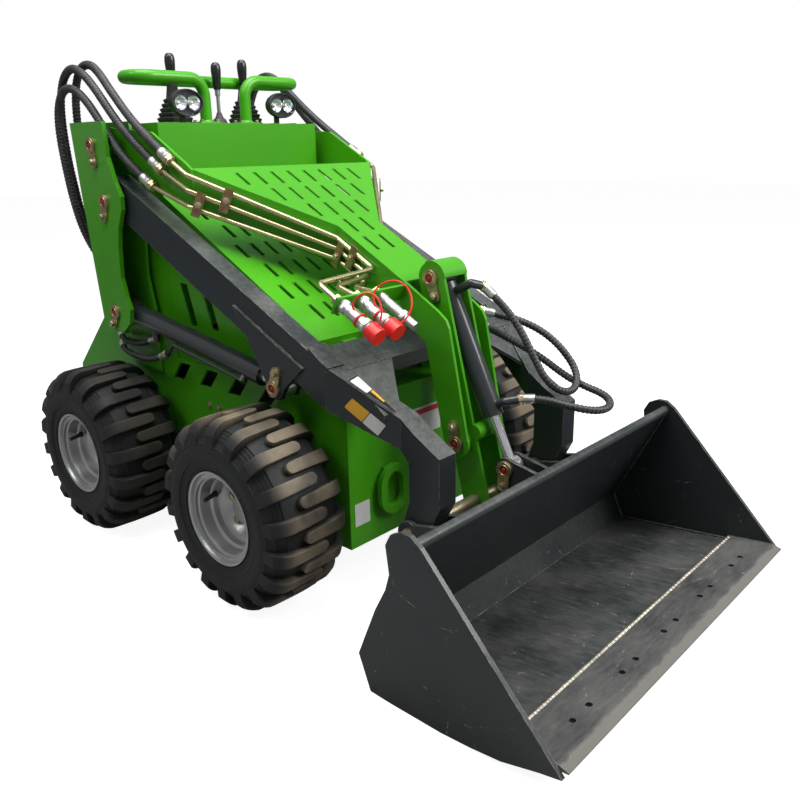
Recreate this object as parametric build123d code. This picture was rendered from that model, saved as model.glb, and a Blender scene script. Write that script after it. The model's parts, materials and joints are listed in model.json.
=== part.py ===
"""Stand-on skid steer loader with four wheels, self-levelling lift arms and a bucket.

Axes: +X is the machine's left, -Y is forward, +Z is up. Millimetres.
Everything is drawn from the front axle's line on the floor (y = 0), and save() moves
it so that the origin is the middle of the footprint, on the floor.
Side views are lists of (y, z) points; save() writes one STEP file for each node.
"""
from build123d import *
import math
import os

os.makedirs("parts", exist_ok=True)

# ---- driving dimensions -------------------------------------------------------------
front_reach = 902.0        # front axle to the cutting edge
rear_reach = 1046.0        # front axle to the rear end of the side plates
tyre_dia = 460.0           # over the lugs
tyre_width = 215.0
lug_height = 15.0
lug_count = 18             # on each shoulder
lug_tip = 30.0             # round the tyre
lug_base = 35.0
lug_reach = 140.0          # from the shoulder towards the other side
shoulder_chamfer = 24.0
rim_dia = 223.0            # over the rim flanges
wheelbase = 647.0
track = 835.0              # between the middles of the left and right tyres
ground_clearance = 119.0

body_half = 278.0          # outer face of the chassis side plates
body_top = 480.0           # under the hood
deck_top = 560.0           # under and behind the console
body_front = -183.0
body_rear = 868.0
side_plate = 8.0
sheet = 5.0

# pivots, as (y, z)
arm_pivot = (614.0, 898.0)
crank = (35.0, 142.0)      # arm pivot to link pivot, the same at both ends of the link
attach_pivot = (-366.0, 220.0)
bracket_top = (-233.0, 733.0)
tilt_eye = (-439.0, 311.0)
lift_foot = (626.0, 604.0)
lift_eye = (-23.0, 502.0)

link_pivot = (arm_pivot[0] + crank[0], arm_pivot[1] + crank[1])
link_nose = (attach_pivot[0] + crank[0], attach_pivot[1] + crank[1])

# widths across the machine, as distances from the middle
arm_outer = 342.0
arm_width = 50.0
arm_depth = 90.0
arm_rise = 26.0            # middle of the beam above the arm pivot
leg_outer = 267.0
leg_width = 54.0
plate_gap = 3.0            # side clearance between a swinging piece and its ear
ear_plate = 12.0
tower_plate = 12.0
tower_gap = 8.0            # arm to outer tower plate
tower_foot = 8.0           # thickness of the inner tower plate
link_plate = 8.0
link_rear_outer = 307.0
link_neck_outer = 72.0
link_wall = 95.0           # depth of the walls under the link's slotted plate
bracket_outer = 42.0
bracket_plate = 8.0
bracket_radius = 37.0
pin_radius = 12.5
shaft_radius = 15.0
pin_clearance = 0.3

bucket_width = 1020.0
bucket_sheet = 6.0
bucket_side = 10.0
edge_thickness = 12.0
edge_width = 108.0

footprint_mid = (rear_reach - front_reach) / 2


# ---- drawing helpers ----------------------------------------------------------------
def save(node, *solids):
    """Write the solids of one node, moved so that the footprint's middle is the origin."""
    placed = [Pos(0, -footprint_mid, 0) * solid for solid in solids]
    shape = placed[0] if len(placed) == 1 else Compound(children=placed)
    export_step(shape, f"parts/{node}.step")


def slab(outline, x_low, x_high):
    """Plate with a (y, z) outline, from x_low to x_high."""
    face = make_face(Polyline(*outline, close=True))
    return Plane.YZ.offset(x_low) * extrude(face, x_high - x_low)


def disc(centre, radius, x_low, x_high):
    """Cylinder along X about a (y, z) centre."""
    face = Pos(centre[0], centre[1]) * Circle(radius)
    return Plane.YZ.offset(x_low) * extrude(face, x_high - x_low)


def turned(outline):
    """Solid of revolution about the X axis, from an outline of (x, radius) points."""
    return revolve(Plane.XZ * make_face(Polyline(*outline, close=True)), Axis.X)


def tube_between(start, end, radius):
    """Round bar between two points in space."""
    axis = Vector(*end) - Vector(*start)
    return Plane(origin=start, z_dir=axis) * extrude(Circle(radius), axis.length)


def bar(points, radius, x_low, x_high):
    """Plate with round ends that follows a line of (y, z) points."""
    plate = None
    for (y_a, z_a), (y_b, z_b) in zip(points, points[1:]):
        run = math.hypot(y_b - y_a, z_b - z_a)
        side = ((z_a - z_b) / run * radius, (y_b - y_a) / run * radius)
        straight = slab([(y_a + side[0], z_a + side[1]), (y_b + side[0], z_b + side[1]),
                         (y_b - side[0], z_b - side[1]), (y_a - side[0], z_a - side[1])],
                        x_low, x_high)
        piece = straight + disc((y_a, z_a), radius, x_low, x_high)
        piece = piece + disc((y_b, z_b), radius, x_low, x_high)
        plate = piece if plate is None else plate + piece
    return plate


def bent_sheet(points, thickness, x_low, x_high):
    """Sheet that follows a (y, z) line, laid on the line's left side, with mitred bends."""
    normals = []
    for (y_a, z_a), (y_b, z_b) in zip(points, points[1:]):
        run = math.hypot(y_b - y_a, z_b - z_a)
        normals.append(((z_a - z_b) / run, (y_b - y_a) / run))
    outer = []
    for index, (y, z) in enumerate(points):
        first = normals[max(index - 1, 0)]
        last = normals[min(index, len(normals) - 1)]
        share = 1 + first[0] * last[0] + first[1] * last[1]
        outer.append((y + (first[0] + last[0]) * thickness / share,
                     z + (first[1] + last[1]) * thickness / share))
    return slab(points + outer[::-1], x_low, x_high)


def box_between(low, high):
    """Box between two opposite corners."""
    size = [h - l for l, h in zip(low, high)]
    middle = [(l + h) / 2 for l, h in zip(low, high)]
    return Pos(*middle) * Box(*size)


def mirrored(solid):
    """The same solid on the other side of the machine."""
    return mirror(solid, Plane.YZ)


def toward(start, end, distance):
    """Point at a distance from start, on the way to end, in the (y, z) plane."""
    run = math.dist(start, end)
    return (start[0] + (end[0] - start[0]) * distance / run,
            start[1] + (end[1] - start[1]) * distance / run)


# ---- wheels -------------------------------------------------------------------------
tyre_radius = tyre_dia / 2
rim_radius = rim_dia / 2
rim_well = rim_radius - 16.3
flange_x = tyre_width / 2 - 9
flange_thick = 8.0
rim_depth = 94.0           # outer flange to the disc's inner face
axle_height = tyre_radius


def lug_star(turn, x_low, x_high):
    """Tread with one row of lugs: flat lug tips and flat roots round a many-sided carcass."""
    outline = []
    for index in range(lug_count):
        angle = math.radians(turn + index * 360 / lug_count)
        for across, up in ((-lug_base / 2, tyre_radius - lug_height), (-lug_tip / 2, tyre_radius),
                           (lug_tip / 2, tyre_radius), (lug_base / 2, tyre_radius - lug_height)):
            outline.append((across * math.cos(angle) + up * math.sin(angle),
                            up * math.cos(angle) - across * math.sin(angle)))
    return slab(outline, x_low, x_high)


def tyre():
    """Carcass with a row of bar lugs from each shoulder, half a pitch apart."""
    half = tyre_width / 2
    seat = flange_x - flange_thick
    wall = rim_radius + 1
    facets = RegularPolygon(tyre_radius, 2 * lug_count, major_radius=False, rotation=90 / lug_count)
    crown = Plane.YZ.offset(shoulder_chamfer - half) * extrude(facets, tyre_width - 2 * shoulder_chamfer)
    shoulder = Plane.YZ.offset(half - shoulder_chamfer) * extrude(facets, shoulder_chamfer, taper=45)
    tread = lug_star(0, -half, lug_reach - half) + lug_star(180 / lug_count, half - lug_reach, half)
    core = turned([(-half - 1, 0), (-half - 1, wall + 10), (-seat, wall),
                    (-seat, rim_well), (seat, rim_well),
                   (seat, wall), (half + 1, wall + 10), (half + 1, 0)])
    return (tread & (crown + shoulder + mirrored(shoulder))) - core


def rim(side):
    """Deep dished steel rim; side is +1 where the outer face looks to +X."""
    flange = flange_x
    seat = flange_x - flange_thick
    well = rim_well
    wheel = turned([(flange, rim_radius), (flange, rim_radius - 8), (flange - 16, well - 6),
                    (flange - 60, well - 11), (flange - 66, well - 29), (flange - 84, 44), (flange - 84, 0),
                    (flange - rim_depth, 0), (flange - rim_depth, 50), (flange - 78, well - 22),
                    (flange - 70, well - 7), (-flange, well - 7), (-flange, rim_radius), (-seat, rim_radius),
                    (-seat, well), (seat, well), (seat, rim_radius)])
    cap = Pos(flange - 70, 0, 0) * (Rotation(0, 90, 0) * Cylinder(42, 30))
    solid = wheel + cap
    return solid if side > 0 else mirror(solid, Plane.YZ)


tyre_solid = tyre()
for end, axle_y in (("front", 0.0), ("rear", wheelbase)):
    for side_name, side in (("left", 1), ("right", -1)):
        place = Pos(side * track / 2, axle_y, axle_height)
        save(f"tyre_{end}_{side_name}", place * tyre_solid)
        save(f"rim_{end}_{side_name}", place * rim(side))

# axle housings, from the chassis side to the back of each rim
hub_outer = track / 2 + flange_x - rim_depth - pin_clearance
axles = []
for axle_y in (0.0, wheelbase):
    for side in (1, -1):
        near, far = sorted((side * body_half, side * hub_outer))
        axles.append(disc((axle_y, axle_height), 42, near, far))
save("axle_hubs", *axles)

# ---- chassis ------------------------------------------------------------------------
hood_front = -95.0
hood_low = 608.0
console_front = 479.0
hood_high = hood_low + 0.53 * (console_front - hood_front)
console_rear = 720.0
console_top = 1092.0
console_half = 267.0
step_height = 230.0
deck_rear = body_rear - 20

side_outline = [(body_front, ground_clearance), (body_front, body_top), (console_front, body_top),
                (console_front, deck_top), (deck_rear, deck_top), (rear_reach, 374), (rear_reach, 200),
                (body_rear, ground_clearance)]


def slanted_slots(table, x_low, x_high):
    """Slots through a side plate; rows of y, z, width, height and lean."""
    return [slab([(y, z), (y + width, z), (y + width + lean, z + height), (y + lean, z + height)],
                 x_low, x_high) for y, z, width, height, lean in table]


# y, z, width, height, lean
side_slots = ((459, 421, 50, 48, -40), (334, 421, 50, 48, -40), (209, 421, 50, 48, -40),
              (84, 421, 50, 48, -40))
hood_side_slots = ((372, 580, 30, 110, 35), (277, 580, 30, 100, 35))

inner_half = body_half - side_plate
side = slab(side_outline, inner_half, body_half)
for slot in slanted_slots(side_slots, inner_half - 1, body_half + 1):
    side = side - slot
front_wall = box_between((-inner_half, body_front, ground_clearance),
                           (inner_half, body_front + side_plate, body_top))
floor = box_between((-inner_half, body_front + side_plate, ground_clearance),
                    (inner_half, body_rear - side_plate, ground_clearance + side_plate))
rear_wall = box_between((-inner_half, body_rear - side_plate, ground_clearance),
                        (inner_half, body_rear, deck_top - 20))
ledge = box_between((-inner_half, body_front + side_plate, body_top - side_plate),
                    (inner_half, hood_front + 20, body_top))
deck = box_between((-inner_half, console_front, deck_top - side_plate), (inner_half, deck_rear, deck_top))
rear_slope = slab([(deck_rear, deck_top), (deck_rear, deck_top - side_plate),
                   (body_rear - side_plate, deck_top - 21),
                   (body_rear, deck_top - 21), (body_rear, deck_top - 18)], -inner_half, inner_half)
chassis = side + mirrored(side) + front_wall + floor + rear_wall + ledge + deck + rear_slope
save("chassis_frame", chassis)

# stand-on step between the rear ends of the side plates
step = box_between((-inner_half, body_rear, step_height - 6), (inner_half, rear_reach - 6, step_height))
save("rear_step", step)

# engine, a plain block on the chassis floor
engine_top = deck_top - side_plate - 12
save("engine_block", box_between((-190, 250, ground_clearance + side_plate), (190, 700, engine_top)))

# hood over the front of the chassis, a sheet cover with slots in its slope
hood_half = 274.0
hood_outline = [(hood_front, body_top), (hood_front, hood_low), (console_front - 1, hood_high),
                (console_front - 1, body_top)]
hood_inner = [(hood_front + sheet, body_top - 1), (hood_front + sheet, hood_low - sheet),
              (console_front, hood_high - sheet), (console_front, body_top - 1)]
hood = slab(hood_outline, -hood_half, hood_half) - slab(hood_inner, -hood_half + sheet, hood_half - sheet)
slot_pitch = 46.0
for row in range(6):
    slot_y = hood_front + 60 + row * 80
    for column in range(-5, 6):
        slot_x = column * slot_pitch + (row % 2) * slot_pitch / 2 - slot_pitch / 4
        if abs(slot_x) < hood_half - 35:
            hood = hood - box_between((slot_x - 6, slot_y, hood_low - 60),
                                  (slot_x + 6, slot_y + 52, hood_high + 60))
for slot in slanted_slots(hood_side_slots, -hood_half - 1, hood_half + 1):
    hood = hood - slot
for rib_x in (-180, -90, 0, 90, 180):
    hood = hood + box_between((rib_x - 22, hood_front - 12, body_top),
                                  (rib_x + 22, hood_front, hood_low - 12))
save("engine_hood", hood)

# towing ring, a slotted plate that stands off the front wall on two feet
loop_centre = (-145.0, 238.0)
loop_width = 98.0
loop_height = 125.0
loop_bar = 22.0
loop_gap = 8.0
loop_thick = 14.0
ring = SlotOverall(loop_height, loop_width, rotation=90)
ring = ring - SlotOverall(loop_height - 1.7 * loop_bar, loop_width - 2 * loop_bar, rotation=90)
ring_plane = Plane(origin=(loop_centre[0], body_front - loop_gap, loop_centre[1]),
                   x_dir=(1, 0, 0), z_dir=(0, -1, 0))
tow_loop = ring_plane * extrude(ring, loop_thick)
for foot_side in (-1, 1):
    foot_z = loop_centre[1] + foot_side * (loop_height / 2 - 12)
    tow_loop = tow_loop + box_between((loop_centre[0] - 24, body_front - loop_gap - 2, foot_z - 7),
                                      (loop_centre[0] + 24, body_front, foot_z + 7))
save("tow_loop", tow_loop)

# console behind the hood, a closed sheet box
console = box_between((-console_half, console_front, deck_top), (console_half, console_rear, console_top))
console = console - box_between((-console_half + sheet, console_front + sheet, deck_top - 1),
                                (console_half - sheet, console_rear - sheet, console_top - sheet))
save("console", console)

# ---- towers -------------------------------------------------------------------------
tower_outer = arm_outer + tower_gap + tower_plate
tower_inner_face = body_half + tower_foot
tower_top = 1098.0
# outline of the outer plate, from the top front corner down the wavy front edge
tower_outline = [(585, tower_top), (580, 1010), (556, 950), (534, 912), (536, 880), (562, 830), (574, 780),
                 (580, 700), (566, 650), (552, 618), (560, 580), (592, 555), (694, 535), (738, 939),
                 (752, tower_top)]
inner_outline = [(585, tower_top), (560, 900), (575, 700), (552, 600),
                 (552, 430), (700, 430), (752, tower_top)]


def tower(side):
    """Outer and inner plates, joined along their rear edges, with holes for the three pins."""
    outer = slab(tower_outline, tower_outer - tower_plate, tower_outer)
    inner = slab(inner_outline, body_half, tower_inner_face)
    web = slab([(694, 545), (738, 939), (752, tower_top), (744, tower_top), (730, 939), (686, 545)],
               tower_inner_face - 4, tower_outer - 4)
    solid = outer + inner + web
    for hole, radius in ((arm_pivot, pin_radius), (lift_foot, pin_radius), (link_pivot, pin_radius)):
        solid = solid - disc(hole, radius, body_half - 1, tower_outer + 1)
    return solid if side > 0 else mirrored(solid)


save("tower_left", tower(1))
save("tower_right", tower(-1))


def flag_pin(centre, flag_to, x_low, x_high, x_face, outward):
    """Pin with a flag plate against the face at x_face and a keeper bolt in its tip."""
    shaft = disc(centre, pin_radius, x_low, x_high)
    near, far = sorted((x_face, x_face + outward * 5))
    flag = bar([centre, flag_to], 15, near, far) + disc(centre, 21, near, far)
    near, far = sorted((x_face, x_face + outward * 12))
    bolt = disc(flag_to, 7, near, far)
    return shaft + flag + bolt


tower_pins = []
# pivot, flag's tip
for pivot, tip in ((link_pivot, (-8, -42)), (arm_pivot, (10, -38)), (lift_foot, (14, -32))):
    tip_point = (pivot[0] + tip[0], pivot[1] + tip[1])
    tower_pins.append(flag_pin(pivot, tip_point, body_half, tower_outer, tower_outer, 1))
    tower_pins.append(flag_pin(pivot, tip_point, -tower_outer, -body_half, -tower_outer, -1))
save("tower_pins", *tower_pins)

# ---- lift arms ----------------------------------------------------------------------
arm_inner = arm_outer - arm_width
arm_slope = math.atan(0.488)
arm_run = (math.cos(arm_slope), math.sin(arm_slope))
elbow = (arm_pivot[0] - 883 * arm_run[0], arm_pivot[1] + arm_rise - 883 * arm_run[1])
half_depth = arm_depth / 2
leg_front = attach_pivot[0] - 76
leg_rear = attach_pivot[0] + 9
leg_inner = leg_outer - leg_width
gusset_step = 6.0          # how far the outer gusset stands proud of the beam


def beam(start, end, depth):
    """Corners of a straight beam of constant depth along a (y, z) line."""
    run = math.dist(start, end)
    across = ((start[1] - end[1]) / run * depth / 2, (end[0] - start[0]) / run * depth / 2)
    return [(start[0] + across[0], start[1] + across[1]), (end[0] + across[0], end[1] + across[1]),
            (end[0] - across[0], end[1] - across[1]), (start[0] - across[0], start[1] - across[1])]


def arm():
    """Left arm: boxed beam, elbow that steps inward, and a leg down to the attach pivot."""
    root = (arm_pivot[0], arm_pivot[1] + arm_rise)
    upper = slab(beam(root, elbow, arm_depth), arm_inner, arm_outer)
    eye = disc(arm_pivot, 62, arm_inner, arm_outer)
    gusset_line = [toward(root, elbow, 560), (lift_eye[0] + 30, lift_eye[1] + 12),
                   (lift_eye[0] + 18, lift_eye[1] - 25),
                   (lift_eye[0] - 18, lift_eye[1] - 25), (lift_eye[0] - 34, lift_eye[1] + 4),
                   toward(root, elbow, 820)]
    outer_gusset = slab(gusset_line, arm_outer - 8, arm_outer + gusset_step)
    inner_gusset = slab(gusset_line, arm_inner, arm_inner + 8)
    # the forearm's side outline, and its plan, which steps inward from the beam to the leg
    forearm_side = [(-140, 614), (-177, 588), (-373, 448), (leg_front, 408), (leg_front, 296),
                    (attach_pivot[0] - 34, attach_pivot[1] - 8),
                    (attach_pivot[0] - 24, attach_pivot[1] - 26),
                    (attach_pivot[0], attach_pivot[1] - 34), (attach_pivot[0] + 24, attach_pivot[1] - 26),
                    (attach_pivot[0] + 34, attach_pivot[1] - 4),
                    (leg_rear, 290), (leg_rear, 380), (-330, 408),
                    (-140, 506)]
    step_start = elbow[0] - 8
    step_end = leg_rear + 20
    plan = [(arm_inner, -100), (arm_outer, -100), (arm_outer, step_start), (leg_outer, step_end),
            (leg_outer, leg_front - 20), (leg_inner, leg_front - 20), (leg_inner, step_end),
            (arm_inner, step_start)]
    plan_prism = Pos(0, 0, 100) * extrude(make_face(Polyline(*plan, close=True)), 700)
    forearm = slab(forearm_side, leg_inner - 20, arm_outer + 20) & plan_prism
    solid = upper + eye + outer_gusset + inner_gusset + forearm
    solid = solid - disc(arm_pivot, pin_radius + pin_clearance, arm_inner - 1, arm_outer + 1)
    solid = solid - disc(lift_eye, pin_radius, arm_inner - 1, arm_outer + 9)
    return solid - disc(attach_pivot, shaft_radius, leg_inner - 1, leg_outer + 1)


left_arm = arm()
save("arm_left", left_arm)
save("arm_right", mirrored(left_arm))

cross_rear = (-122.0, 583.0)
cross_front = (cross_rear[0] - 86 * arm_run[0], cross_rear[1] - 86 * arm_run[1])
cross = slab(beam(cross_rear, cross_front, 46), -arm_inner, arm_inner)
# a triangular plate in each corner between the cross member and an arm
gusset_plate = 9.0
gusset_rear = cross_front[0] + 8
gusset_front = gusset_rear - 122
gusset_fall = 84 / 109
gusset_plan = [(-arm_inner, gusset_rear), (-147, gusset_rear), (-147, gusset_rear - 10),
               (-240, gusset_front),
               (-arm_inner, gusset_front)]
gusset_side = [(gusset_rear, 577), (gusset_front, 577 - gusset_fall * (gusset_rear - gusset_front)),
               (gusset_front, 577 - gusset_plate - gusset_fall * (gusset_rear - gusset_front)),
               (gusset_rear, 577 - gusset_plate)]
gusset_prism = Pos(0, 0, 300) * extrude(make_face(Polyline(*gusset_plan, close=True)), 500)
corner_plate = gusset_prism & slab(gusset_side, -arm_outer, 0)
cross = cross + corner_plate + mirrored(corner_plate)
save("arm_cross_member", cross - left_arm - mirrored(left_arm))

shaft_end = leg_outer + plate_gap + ear_plate + 3
save("attach_shaft", disc(attach_pivot, shaft_radius, -shaft_end, shaft_end))


def eye_stub(centre, flag_to, x_face, outward, length):
    """Pin end with its flag, filling the hole of one lug beside a rod's eye."""
    near, far = sorted((x_face - outward * length, x_face))
    return flag_pin(centre, flag_to, near, far, x_face, outward)


lift_tip = (lift_eye[0] - 12, lift_eye[1] + 38)
gusset_face = arm_outer + gusset_step
inner_stub = disc(lift_eye, pin_radius, arm_inner, arm_inner + 8)
save("lift_eye_pins", eye_stub(lift_eye, lift_tip, gusset_face, 1, 8 + gusset_step),
     eye_stub(lift_eye, lift_tip, -gusset_face, -1, 8 + gusset_step), inner_stub, mirrored(inner_stub))

# ---- levelling link -----------------------------------------------------------------
plate_rear = (294.0, 981.0)
neck_rear = 36.0
plate_front = (-177.0, 724.0)
plate_slope = (plate_rear[1] - plate_front[1]) / (plate_rear[0] - plate_front[0])


def plate_height(y):
    """Height of the slotted plate's upper face."""
    return plate_front[1] + plate_slope * (y - plate_front[0])


link_rear_half = link_rear_outer - 2
link_plan = [(-link_rear_half, plate_rear[0]), (-link_neck_outer, neck_rear),
             (-link_neck_outer, plate_front[0]), (link_neck_outer, plate_front[0]),
             (link_neck_outer, neck_rear), (link_rear_half, plate_rear[0])]
inner_plan = [(-link_rear_half + link_plate + 4, plate_rear[0] + 1),
              (-link_neck_outer + link_plate, neck_rear + 4),
              (-link_neck_outer + link_plate, plate_front[0] - 1),
               (link_neck_outer - link_plate, plate_front[0] - 1),
              (link_neck_outer - link_plate, neck_rear + 4),
               (link_rear_half - link_plate - 4, plate_rear[0] + 1)]


def band(top_drop, bottom_drop, margin):
    """Layer below the slotted plate's upper face, between two vertical drops."""
    y_front = plate_front[0] - margin
    y_rear = plate_rear[0] + margin
    return slab([(y_front, plate_height(y_front) - top_drop), (y_rear, plate_height(y_rear) - top_drop),
                 (y_rear, plate_height(y_rear) - bottom_drop),
                 (y_front, plate_height(y_front) - bottom_drop)],
                -link_rear_outer - 5, link_rear_outer + 5)


def prism(plan):
    """Upright prism over a plan outline, tall enough to cross the whole link."""
    return Pos(0, 0, 500) * extrude(make_face(Polyline(*plan, close=True)), 700)


link_shell = (prism(link_plan) & band(0, link_wall, 0)) - (prism(inner_plan) & band(6, link_wall + 5, 5))
slot_run = 52.0
slot_lean = 5.0
# y of the rear end, x of the first slot, number of slots
slot_rows = ((270, -191, 8), (200, -138, 6), (130, -85, 4), (60, -31, 2), (-11, -34, 2))
for row_y, first_x, count in slot_rows:
    for index in range(count):
        slot_x = first_x + index * 54.5
        hole = box_between((slot_x - 5.5, row_y - slot_run, 600), (slot_x + 5.5, row_y, 1100))
        link_shell = link_shell - (hole & band(-2, 10, 0))

link_side_rear = [(link_pivot[0], link_pivot[1] + 44), (450, 1068), (303, plate_height(303) + 2),
                  (plate_rear[0] - 4, plate_height(plate_rear[0] - 4)),
                  (plate_rear[0] - 4, plate_height(plate_rear[0] - 4) - link_wall),
                  (plate_rear[0] + 40, plate_height(plate_rear[0]) - link_wall + 8),
                  (link_pivot[0] - 10, link_pivot[1] - 44)]
rear_side = slab(link_side_rear, link_rear_outer - link_plate, link_rear_outer)
rear_side = rear_side + disc(link_pivot, 45, link_rear_outer - link_plate, link_rear_outer)
rear_boss = disc(link_pivot, 27, link_rear_outer - link_plate, tower_outer - tower_plate - plate_gap)
rear_side = rear_side + rear_boss

link_leg = [(neck_rear - 40, plate_height(neck_rear - 40)), plate_front,
            (-278, 665), (-300, 648), (-309, 630),
            (link_nose[0] - 35, link_nose[1] - 4), (link_nose[0] + 34, link_nose[1] - 8), (-240, 590),
            (-205, 612), (-150, plate_height(-150) - link_wall),
            (neck_rear - 40, plate_height(neck_rear - 40) - link_wall)]
front_side = slab(link_leg, link_neck_outer - link_plate, link_neck_outer)
front_side = front_side + disc(link_nose, 35, link_neck_outer - link_plate, link_neck_outer)
coupler_at = Vector(0, -172, 700)           # middle of the plate that holds the quick couplers
coupler_fall = math.radians(28)
coupler_way = Vector(0, -math.cos(coupler_fall), -math.sin(coupler_fall))
coupler_plate = 6.0
coupler_x = (-268, -209, -148)
coupler_plane = Plane(origin=coupler_at, x_dir=(1, 0, 0), z_dir=coupler_way)
holder = coupler_plane * Pos((coupler_x[0] - 22 - link_neck_outer) / 2, 0) * Box(
    -coupler_x[0] + 22 - link_neck_outer, 40, coupler_plate)
link = link_shell + rear_side + mirrored(rear_side) + front_side + mirrored(front_side) + holder
link = link - disc(link_pivot, pin_radius + pin_clearance, -tower_outer, tower_outer)
link = link - disc(link_nose, pin_radius, -link_neck_outer - 1, link_neck_outer + 1)
save("levelling_link", link)

# ---- hoses ------------------------------------------------------------------------------
aux_radius = 11.0          # hoses between the deck and the link
tilt_hose_radius = 9.0
lift_hose_radius = 8.0


def hose(node, points, radius):
    """Hose of straight runs and tangent arcs; each arc takes 45% of the shorter run beside it."""
    runs = [Vector(*b) - Vector(*a) for a, b in zip(points, points[1:])]
    bends = []
    for before, after in zip(runs, runs[1:]):
        turn = math.radians(before.get_angle(after))
        bends.append(0.45 * min(before.length, after.length) / math.tan(turn / 2))
    path = FilletPolyline(*points, radius=bends)
    section = Plane(origin=Vector(*points[0]), z_dir=runs[0]) * Circle(radius)
    solid = sweep(section, path)
    smallest = min(bends)
    kept = solid.volume / (math.pi * radius ** 2 * path.length)
    print(f"{node}: radius {radius} mm, {path.length:.0f} mm long, bends from {smallest:.0f} mm, {kept:.3f} kept")
    save(node, solid)


def stub(at, toward_point, radius, length):
    """Cylinder that ends at a point and reaches back, away from the next point of the hose."""
    way = (Vector(*toward_point) - Vector(*at)).normalized()
    return Plane(origin=Vector(*at) - way * length, z_dir=way) * extrude(Circle(radius), length)


port_y = 806.0
port_top = 595.0
aux_outer = [(-325, 476, 961), (-328, 525, 990), (-332, 570, 1025), (-336, 609, 1067), (-339, 645, 1111),
             (-342, 685, 1152), (-345, 733, 1183), (-346, 789, 1187), (-347, 830, 1149), (-347, 845, 1094),
             (-346, 845, 1037), (-344, 840, 979), (-341, 835, 922), (-335, 830, 866), (-325, 824, 810),
             (-306, 817, 756), (-280, 810, 705), (-255, port_y, 652), (-255, port_y, port_top)]
aux_middle = [(-323, 430, 1001), (-325, 481, 1032), (-326, 530, 1066), (-328, 576, 1104),
              (-327, 621, 1144), (-327, 665, 1185), (-327, 713, 1220), (-327, 769, 1240),
              (-326, 823, 1218), (-326, 855, 1168), (-325, 867, 1110), (-324, 867, 1050), (-322, 864, 990),
              (-317, 860, 931), (-312, 855, 871), (-302, 848, 813), (-283, 836, 757), (-255, 821, 707),
              (-225, port_y, 655), (-225, port_y, port_top)]
aux_inner = [(-321, 388, 1021), (-320, 437, 1050), (-318, 487, 1080), (-315, 534, 1111), (-311, 580, 1145),
             (-308, 625, 1181), (-304, 669, 1218), (-301, 718, 1246), (-300, 774, 1241), (-299, 812, 1200),
             (-299, 828, 1145), (-299, 831, 1088), (-297, 829, 1031), (-295, 825, 973), (-293, 820, 916),
             (-287, 816, 860), (-275, 812, 804), (-252, 809, 751), (-219, 807, 705), (-195, port_y, 652),
             (-195, port_y, port_top)]
hose("aux_hose_outer", aux_outer, aux_radius)
hose("aux_hose_middle", aux_middle, aux_radius)
hose("aux_hose_inner", aux_inner, aux_radius)
supply_middle = [(-x, y, z) for x, y, z in aux_middle]
supply_inner = [(-x, y, z) for x, y, z in aux_inner]
hose("supply_hose_middle", supply_middle, aux_radius)
hose("supply_hose_inner", supply_inner, aux_radius)
tilt_upper = [(36, -334, 706), (52, -369, 672), (60, -410, 622), (59, -446, 568), (59, -486, 508),
              (98, -510, 477), (152, -510, 477), (191, -486, 508), (187, -446, 556), (178, -402, 590),
              (158, -356, 614), (130, -318, 628), (98, -285, 640)]
tilt_lower = [(30, -452, 469), (46, -490, 473), (56, -567, 463), (95, -604, 454), (149, -604, 454),
              (188, -567, 463), (190, -504, 474), (187, -454, 492), (172, -398, 530), (155, -350, 556),
              (133, -304, 582), (108, -260, 606)]
hose("tilt_hose_upper", tilt_upper, tilt_hose_radius)
hose("tilt_hose_lower", tilt_lower, tilt_hose_radius)
lift_rear = [(-308, 711, 520), (-322, 683, 516), (-326, 640, 512),
             (-325, 600, 512), (-321, 560, 520), (-318, 520, 534)]
lift_front = [(-308, 711, 490), (-322, 684, 485), (-328, 640, 480), (-331, 590, 477), (-333, 540, 478),
              (-334, 490, 487), (-335, 450, 504)]
for side_name, side in (("left", -1), ("right", 1)):
    hose("lift_hose_rear_" + side_name, [(side * x, y, z) for x, y, z in lift_rear], lift_hose_radius)
    hose("lift_hose_front_" + side_name, [(side * x, y, z) for x, y, z in lift_front], lift_hose_radius)

# fittings that the hoses leave from on the deck and on the side plates
save("deck_ports", *[Pos(points[-1][0], port_y, deck_top)
                             * extrude(Circle(aux_radius + 1), port_top - deck_top)
                     for points in (aux_outer, aux_middle, aux_inner, supply_middle, supply_inner)])
elbows = []
for points in (lift_rear, lift_front):
    start = Vector(*points[0])
    turn = start - (Vector(*points[1]) - start).normalized() * 26
    elbow = stub(points[0], points[1], lift_hose_radius + 1, 26)
    elbow = elbow + Pos(turn.X, turn.Y, turn.Z) * Sphere(lift_hose_radius + 1)
    elbow = elbow + tube_between((-body_half, turn.Y, turn.Z),
                                         (turn.X, turn.Y, turn.Z), lift_hose_radius + 1)
    elbow = elbow - box_between((-body_half, turn.Y - 30, turn.Z - 30), (0, turn.Y + 30, turn.Z + 30))
    elbows.append(elbow)
    elbows.append(mirrored(elbow))
save("side_ports", *elbows)

# ---- pipes and quick couplers on the link -----------------------------------------------
pipe_radius = 6.0
pipe_bend = 14.0
pipe_gap = 0.5             # to the wall beside it
ferrule_length = 46.0
nut_length = 16.0
wall_rear_x = link_rear_outer + 2 * pipe_radius
corner_y = plate_rear[0] - 3
wall_neck_x = link_neck_outer + pipe_gap + pipe_radius


def pipe(points, radius, bend):
    """Bent tube, drawn solid, through a list of points in space."""
    path = FilletPolyline(*points, radius=bend)
    start = Vector(*points[0])
    section = Plane(origin=start, z_dir=Vector(*points[1]) - start) * Circle(radius)
    return sweep(section, path)


def pipe_start(points):
    """Point where the pipe enters the ferrule at the start of a hose."""
    start = Vector(*points[0])
    way = (Vector(*points[1]) - start).normalized()
    return tuple(start - way * ferrule_length)


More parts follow.
